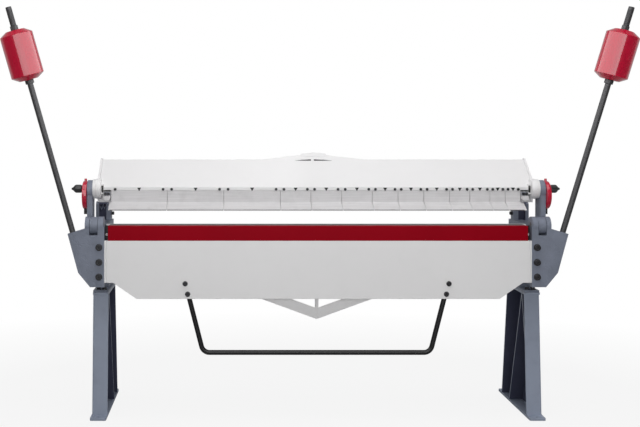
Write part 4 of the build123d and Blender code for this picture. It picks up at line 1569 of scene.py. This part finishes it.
@dataclass
class BeamEnds:
    """Both ends of the clamping beam, with their trunnions, end blocks and arms."""

    plate_side: tuple[float, float] = (1345.0, 1358.0)
    plate_outline: tuple[tuple[float, float], ...] = (
        (99.0, 206.0),
        (99.0, 228.0),
        (302.3, 400.9),
        (329.3, 400.9),
        (329.3, 338.7),
        (267.0, 130.0),
        (148.0, 130.0),
        (148.0, 206.0),
    )
    trunnion: tuple[float, float, float] = (118.0, 216.0, 60.0)
    trunnion_side: tuple[float, float] = (1330.0, 1380.0)
    trunnion_rim: tuple[tuple[float, float], ...] = ((0.0, 3.0), (0.8, 1.0), (3.0, 0.0))
    trunnion_flare: tuple[float, float] = (3.0, 2.7)
    block_side: tuple[float, float] = (1272.0, 1313.0)
    block_round: tuple[float, float] = (15.0, 159.0)
    block_top: float = 172.0
    block_back: tuple[float, float] = (76.0, 148.0)
    block_body: Block = Block(0.0, (104.0, 148.0), (171.0, 201.0))
    gib: Block = Block(1.0, (97.0, 106.0), (175.5, 196.0))
    shade_strip: Block = Block(-2.0, (96.0, 148.0), (200.5, 208.5), 0.8)
    block_bolt_shares: tuple[float, float] = (0.27, 0.73)
    block_bolt: tuple[float, float] = (97.0, 185.5)
    block_screw: Screw = Screw(Head.SOCKET, 9.0, 11.0, 1.0)
    slot_side: float = 1322.0
    slot_lift: tuple[float, float] = (192.0, 237.0)
    slot_radius: float = 6.5
    cover_back: tuple[float, float] = (99.0, 150.0)
    cover_half: float = 9.0

    def build(self) -> None:
        """Make the pieces of both ends."""
        for hand in Hand:
            self.end_plate(hand)
            self.trunnion_end(hand)
            self.end_block(hand)
            self.side_slot_shade(hand)
            eased_copy(hand.node("clamp_arm"), Slot.CASTING, Body.BEAM, 3 * MM, 3)

    def end_plate(self, hand: Hand) -> None:
        """Make the plate that closes an end of the beam."""
        inside, outside = self.plate_side
        form = Form()
        corners = [at(hand.value * inside, back, lift) for back, lift in self.plate_outline]
        form.prism(corners, hand.across(outside - inside) * MM, 2 * MM)
        form.finish(hand.node("end_plate"), Slot.WHITE, Body.BEAM, hand.node("beam_end"))

    def trunnion_end(self, hand: Hand) -> None:
        """Turn the thick trunnion, with a flare where it meets the end plate."""
        back, lift, radius = self.trunnion
        inside, outside = self.trunnion_side
        reach, rise = self.trunnion_flare
        plate = self.plate_side[1] - inside
        foot, head = rim_pair(radius, outside - inside, self.trunnion_rim)
        flare = []
        for step in range(QUARTER):
            share = math.sin(math.radians(ARC_STEP * step))
            flare.append((plate + reach * share, radius + rise * (1 - share)))
        stand = facing(hand.across(1.0), at(hand.value * inside, back, lift))
        form = Form()
        form.lathe(foot + flare + head, stand, 96)
        form.finish(hand.node("trunnion"), Slot.WHITE, Body.BEAM)

    def end_block(self, hand: Hand) -> None:
        """Make the steel block beside the fingers, with a gib, a black strip of painted shadow
        along its top, and two bolts.
        """
        inside, outside = self.block_side
        front, rear = self.block_back
        radius, middle = self.block_round
        profile = [(inside, self.block_top)]
        profile += arc((inside + radius, middle), radius, 180.0, QUARTER)
        profile += arc((outside - radius, middle), radius, 270.0, QUARTER)
        profile.append((outside, self.block_top))
        form = Form()
        corners = [at(hand.value * side, front, lift) for side, lift in profile]
        form.prism(corners, Vector((0.0, rear - front, 0.0)) * MM, 1.5 * MM)
        low, high = sorted((hand.value * (inside + 0.5), hand.value * (outside - 0.5)))
        self.block_body.add_to(form, low, high)
        form.finish(hand.node("end_block"), Slot.FINGER, Body.BEAM)
        # The black strip on top is painted shadow: it stands for the shadow line between the block
        # and the panel.
        others = (("end_gib", self.gib, Slot.CASTING), ("end_shade_strip", self.shade_strip, Slot.BLACK))
        for name, block, slot in others:
            form = Form()
            block.add_to(form, low, high)
            form.finish(hand.node(name), slot, Body.BEAM)
        width = outside - inside
        spots = [
            at(hand.value * (inside + width * share), *self.block_bolt)
            for share in self.block_bolt_shares
        ]
        self.block_screw.set_on(hand.node("end_block_bolts"), spots, FORWARD, Body.BEAM)

    def side_slot_shade(self, hand: Hand) -> None:
        """Make the cover beside the trunnion, with a thin black plate on it as the painted shade
        of an upright slot.
        """
        side = hand.value * self.slot_side
        low, high = self.slot_lift
        front, rear = self.cover_back
        half, radius = self.cover_half, self.slot_radius
        cover = Form()
        cover.box(at(side - half, front, low - 8), at(side + half, rear, high + 8), 2 * MM)
        cover.finish(hand.node("slot_cover"), Slot.WHITE, Body.BEAM)
        outline = arc((side, low + radius), radius, 180.0, HALF)
        outline += arc((side, high - radius), radius, 0.0, HALF)
        # The black plate is painted shade: it stands for the dark inside of the slot.
        slot = Form()
        corners = [at(across, front + 0.3, lift) for across, lift in outline]
        slot.prism(corners, FORWARD * 0.8 * MM)
        slot.finish(hand.node("side_slot_shade"), Slot.BLACK, Body.BEAM)


@dataclass
class Cams:
    """The eccentric discs and star knobs on the trunnions."""

    centre: tuple[float, float] = (118.0, 178.0)
    axle: tuple[float, float] = (118.0, 216.0)
    side: tuple[float, float] = (1414.0, 1441.0)
    radius: float = 86.0
    rim: tuple[tuple[float, float], ...] = ((0.0, 3.0), (1.0, 1.2), (3.0, 0.0))
    flat_radius: float = 60.0
    peg: tuple[float, float] = (8.0, 15.5)
    stop: tuple[float, float] = (20.0, 33.0)
    lobes: int = 7
    knob_profile: tuple[tuple[float, float, float], ...] = (
        (0.0, 13.0, 0.0),
        (6.0, 13.0, 0.0),
        (7.5, 16.5, 0.4),
        (10.0, 20.5, 1.2),
        (14.0, 23.0, 1.8),
        (20.0, 24.0, 2.0),
        (44.0, 24.0, 2.0),
        (49.5, 23.0, 1.8),
        (54.0, 20.5, 1.2),
        (58.5, 16.5, 0.7),
        (62.0, 12.5, 0.3),
        (65.5, 9.0, 0.0),
        (69.5, 7.5, 0.0),
        (72.5, 6.2, 0.0),
        (74.0, 4.0, 0.0),
    )

    def build(self) -> None:
        """Make the disc and the knob of both ends."""
        for hand, body in ((Hand.LEFT, Body.LEFT_CAM), (Hand.RIGHT, Body.RIGHT_CAM)):
            self.disc(hand, body)
            self.stop_lug(hand, body)
            self.knob(hand, body)

    def disc(self, hand: Hand, body: Body) -> None:
        """Turn an eccentric disc with rounded rims, and set its peg."""
        back, lift = self.centre
        inside, outside = self.side
        length = outside - inside
        foot, head = rim_pair(self.radius, length, self.rim)
        profile = [(0.0, self.flat_radius), *foot, *head, (length, self.flat_radius)]
        form = Form()
        form.lathe(profile, facing(hand.across(1.0), at(hand.value * inside, back, lift)), 128)
        peg_radius, peg_height = self.peg
        middle = hand.value * (inside + outside) / 2
        rise = [(-4.0, peg_radius), (peg_height - 1.5, peg_radius), (peg_height, peg_radius - 1.5)]
        form.lathe(rise, Matrix.Translation(at(middle, back, lift + self.radius)), 32)
        form.finish(hand.node("disc"), Slot.GLOSS_RED, body, hand.node("cam_disc"))

    def stop_lug(self, hand: Hand, body: Body) -> None:
        """Make the black lug under a disc."""
        back, lift = self.centre
        width, reach = self.stop
        middle = hand.value * sum(self.side) / 2
        foot = lift - self.radius
        form = Form()
        low = at(middle - width / 2, back - width / 2, foot - reach)
        form.box(low, at(middle + width / 2, back + width / 2, foot + 6.0), 2 * MM)
        form.finish(hand.node("disc_stop"), Slot.BLACK, body)

    def knob(self, hand: Hand, body: Body) -> None:
        """Turn the lobed knob on the end of a trunnion."""
        foot = at(hand.value * self.side[1], *self.axle)
        form = Form()
        form.lathe(self.knob_profile, facing(hand.across(1.0), foot), 84, self.lobes)
        form.finish(hand.node("knob"), Slot.KNOB, body, hand.node("star_knob"), angle=50.0)


@dataclass
class Leaf:
    """The bending leaf with its castings and its handle."""

    front: float = -50.0
    casting_bolt_side: float = 1324.0
    casting_bolt_lifts: tuple[float, ...] = (-130.0, -220.0, -308.0)
    casting_screw: Screw = Screw(
        Head.SOCKET, 18.5, 17.0, 1.8, socket=8.5, washer=21.0, washer_height=3.0
    )
    handle_bolts: tuple[tuple[float, float], ...] = ((797.0, -349.0), (782.0, -412.0))
    handle_screw: Screw = Screw(
        Head.SOCKET, 13.0, 10.0, 1.5, socket=6.0, washer=16.0, washer_height=2.0
    )
    handle_bend: tuple[float, float, float] = (689.0, -769.0, 50.0)
    handle_past_bolt: float = 30.0
    handle_middle: float = -6.0
    handle_back: float = -26.0
    handle_radius: float = 15.0
    bend_steps: int = 14

    def build(self) -> None:
        """Make the pieces of the leaf."""
        eased_copy("leaf_apron", Slot.WHITE, Body.LEAF, 2 * MM, 3)
        eased_copy("bending_bar", Slot.BAR, Body.LEAF, 1.5 * MM)
        self.bolts()
        self.handle()
        for hand in Hand:
            eased_copy(hand.node("leaf_casting"), Slot.CASTING, Body.LEAF, 4 * MM, 3)

    def bolts(self) -> None:
        """Set the socket heads of the castings and of the handle."""
        large = [
            at(hand.value * self.casting_bolt_side, self.front, lift)
            for hand in Hand
            for lift in self.casting_bolt_lifts
        ]
        self.casting_screw.set_on("casting_bolts", large, FORWARD, Body.LEAF, "leaf_bolts")
        small = [
            at(self.handle_middle + hand.value * side, self.front, lift)
            for hand in Hand
            for side, lift in self.handle_bolts
        ]
        self.handle_screw.set_on("handle_bolts", small, FORWARD, Body.LEAF)

    def handle(self) -> None:
        """Bend the round handle bar from one side to the other."""
        (upper_side, upper_lift), (lower_side, lower_lift) = self.handle_bolts
        lean = (upper_side - lower_side) / (upper_lift - lower_lift)
        bend_side, drop, radius = self.handle_bend
        past = self.handle_past_bolt
        end = Vector((upper_side + lean * past, upper_lift + past))
        corner = Vector((bend_side, drop))
        up = (end - corner).normalized()
        inward = Vector((-1.0, 0.0))
        half_turn = up.angle(inward) / 2
        reach = radius / math.tan(half_turn)
        middle = corner + (up + inward).normalized() * (radius / math.sin(half_turn))
        first = corner + up * reach - middle
        last = corner + inward * reach - middle
        sweep = first.angle_signed(last)
        right = [end]
        for step in range(self.bend_steps + 1):
            spin = Matrix.Rotation(-sweep * step / self.bend_steps, 2)
            right.append(middle + spin @ first)
        sides = [(1, point) for point in right] + [(-1, point) for point in reversed(right)]
        path = [
            at(self.handle_middle + sign * point.x, self.handle_back, point.y)
            for sign, point in sides
        ]
        form = Form()
        form.tube(path, self.handle_radius * MM, 28)
        form.finish("handle_bar", Slot.BLACK, Body.LEAF, "handle", angle=50.0)


@dataclass
class Counterweights:
    """The leaning rods on the leaf, with their weights, nuts and threads."""

    rod_foot: tuple[float, float, float] = (1486.0, -26.25, -39.65)
    rod_lean: float = 14.9
    rod_forward: float = 6.4
    rod_span: tuple[float, float] = (-12.0, 1402.5)
    rod_radius: float = 17.5
    weight_along: float = 1108.0
    weight_radius: float = 98.0
    weight_half: float = 125.0
    weight_cone: float = 27.0
    weight_end: float = 55.0
    nut: tuple[tuple[float, float], ...] = ((0.0, 22.0), (1.5, 24.5), (25.5, 24.5), (28.0, 21.5))
    collar: tuple[tuple[float, float], ...] = (
        (0.0, 23.5),
        (2.0, 26.0),
        (22.0, 26.0),
        (24.0, 24.5),
    )
    thread_length: float = 96.0
    thread_crest: float = 1.0 * MM
    thread_pitch: float = 3.6 * MM

    def build(self) -> None:
        """Make the pieces of both rods."""
        for hand in Hand:
            self.rod(hand)
            self.weight(hand)
            self.nuts(hand)
        grow(
            "rod_threads",
            thread_tree(),
            [self.thread_line(hand) for hand in Hand],
            Slot.ROD,
            Body.LEAF,
            Radius=(self.rod_radius - 0.2) * MM,
            Crest=self.thread_crest,
            Pitch=self.thread_pitch,
        )

    def rod_stand(self, hand: Hand, along: float) -> Matrix:
        """Return the matrix that stands on a rod, so far up from its foot."""
        side, back, lift = self.rod_foot
        outward = hand.value * math.tan(math.radians(self.rod_lean))
        forward = math.tan(math.radians(self.rod_forward))
        way = Vector((outward, -forward, 1.0)).normalized()
        return facing(way, at(hand.value * side, back, lift) + way * along * MM)

    def weight_reach(self) -> float:
        """Return how far a weight reaches up and down from its middle."""
        return self.weight_half + self.weight_cone

    def thread_line(self, hand: Hand) -> list[Vector]:
        """Return the ends of the threaded length above a nut."""
        start = self.weight_along + self.weight_reach() + self.nut[-1][0]
        spans = (start, start + self.thread_length)
        return [self.rod_stand(hand, along).translation for along in spans]

    def rod(self, hand: Hand) -> None:
        """Turn a rod with a chamfered top end."""
        low, high = self.rod_span
        radius = self.rod_radius
        profile = [(low, radius), (high - 2.5, radius), (high, radius - 2.5)]
        form = Form()
        form.lathe(profile, self.rod_stand(hand, 0.0), 48)
        form.finish(hand.node("rod"), Slot.ROD, Body.LEAF, hand.node("counter_rod"))

    def weight(self, hand: Hand) -> None:
        """Turn a counterweight: a drum with conical ends and eased corners."""
        half, top = self.weight_half, self.weight_reach()
        radius, end = self.weight_radius, self.weight_end
        upper = [
            (half - 3.0, radius),
            (half - 0.6, radius - 0.6),
            (half + 1.6, radius - 2.6),
            (top - 2.0, end + 3.4),
            (top - 0.4, end + 1.0),
            (top, end - 1.5),
            (top, 20.0),
        ]
        lower = [(-along, wide) for along, wide in reversed(upper)]
        form = Form()
        form.lathe(lower + upper, self.rod_stand(hand, self.weight_along), 128)
        replaced = hand.node("counterweight")
        form.finish(hand.node("weight"), Slot.GLOSS_RED, Body.LEAF, replaced, angle=25.0)

    def nuts(self, hand: Hand) -> None:
        """Make the hexagon nut above a weight and the round collar under it."""
        above = self.weight_along + self.weight_reach()
        below = self.weight_along - self.weight_reach() - self.collar[-1][0]
        form = Form()
        form.lathe(self.nut, self.rod_stand(hand, above), 6)
        form.lathe(self.collar, self.rod_stand(hand, below), 48)
        names = ("weight_nuts",) if hand is Hand.LEFT else ()
        form.finish(hand.node("weight_nut"), Slot.ROD, Body.LEAF, *names)


def main() -> None:
    """Build the studio and every sub-assembly."""
    logging.basicConfig(level=logging.INFO, format="%(name)s: %(message)s")
    Studio().build()
    for part in (Stands(), Bed(), Beam(), Fingers(), BeamEnds(), Cams(), Leaf(), Counterweights()):
        part.build()


if __name__ == "__main__":
    main()
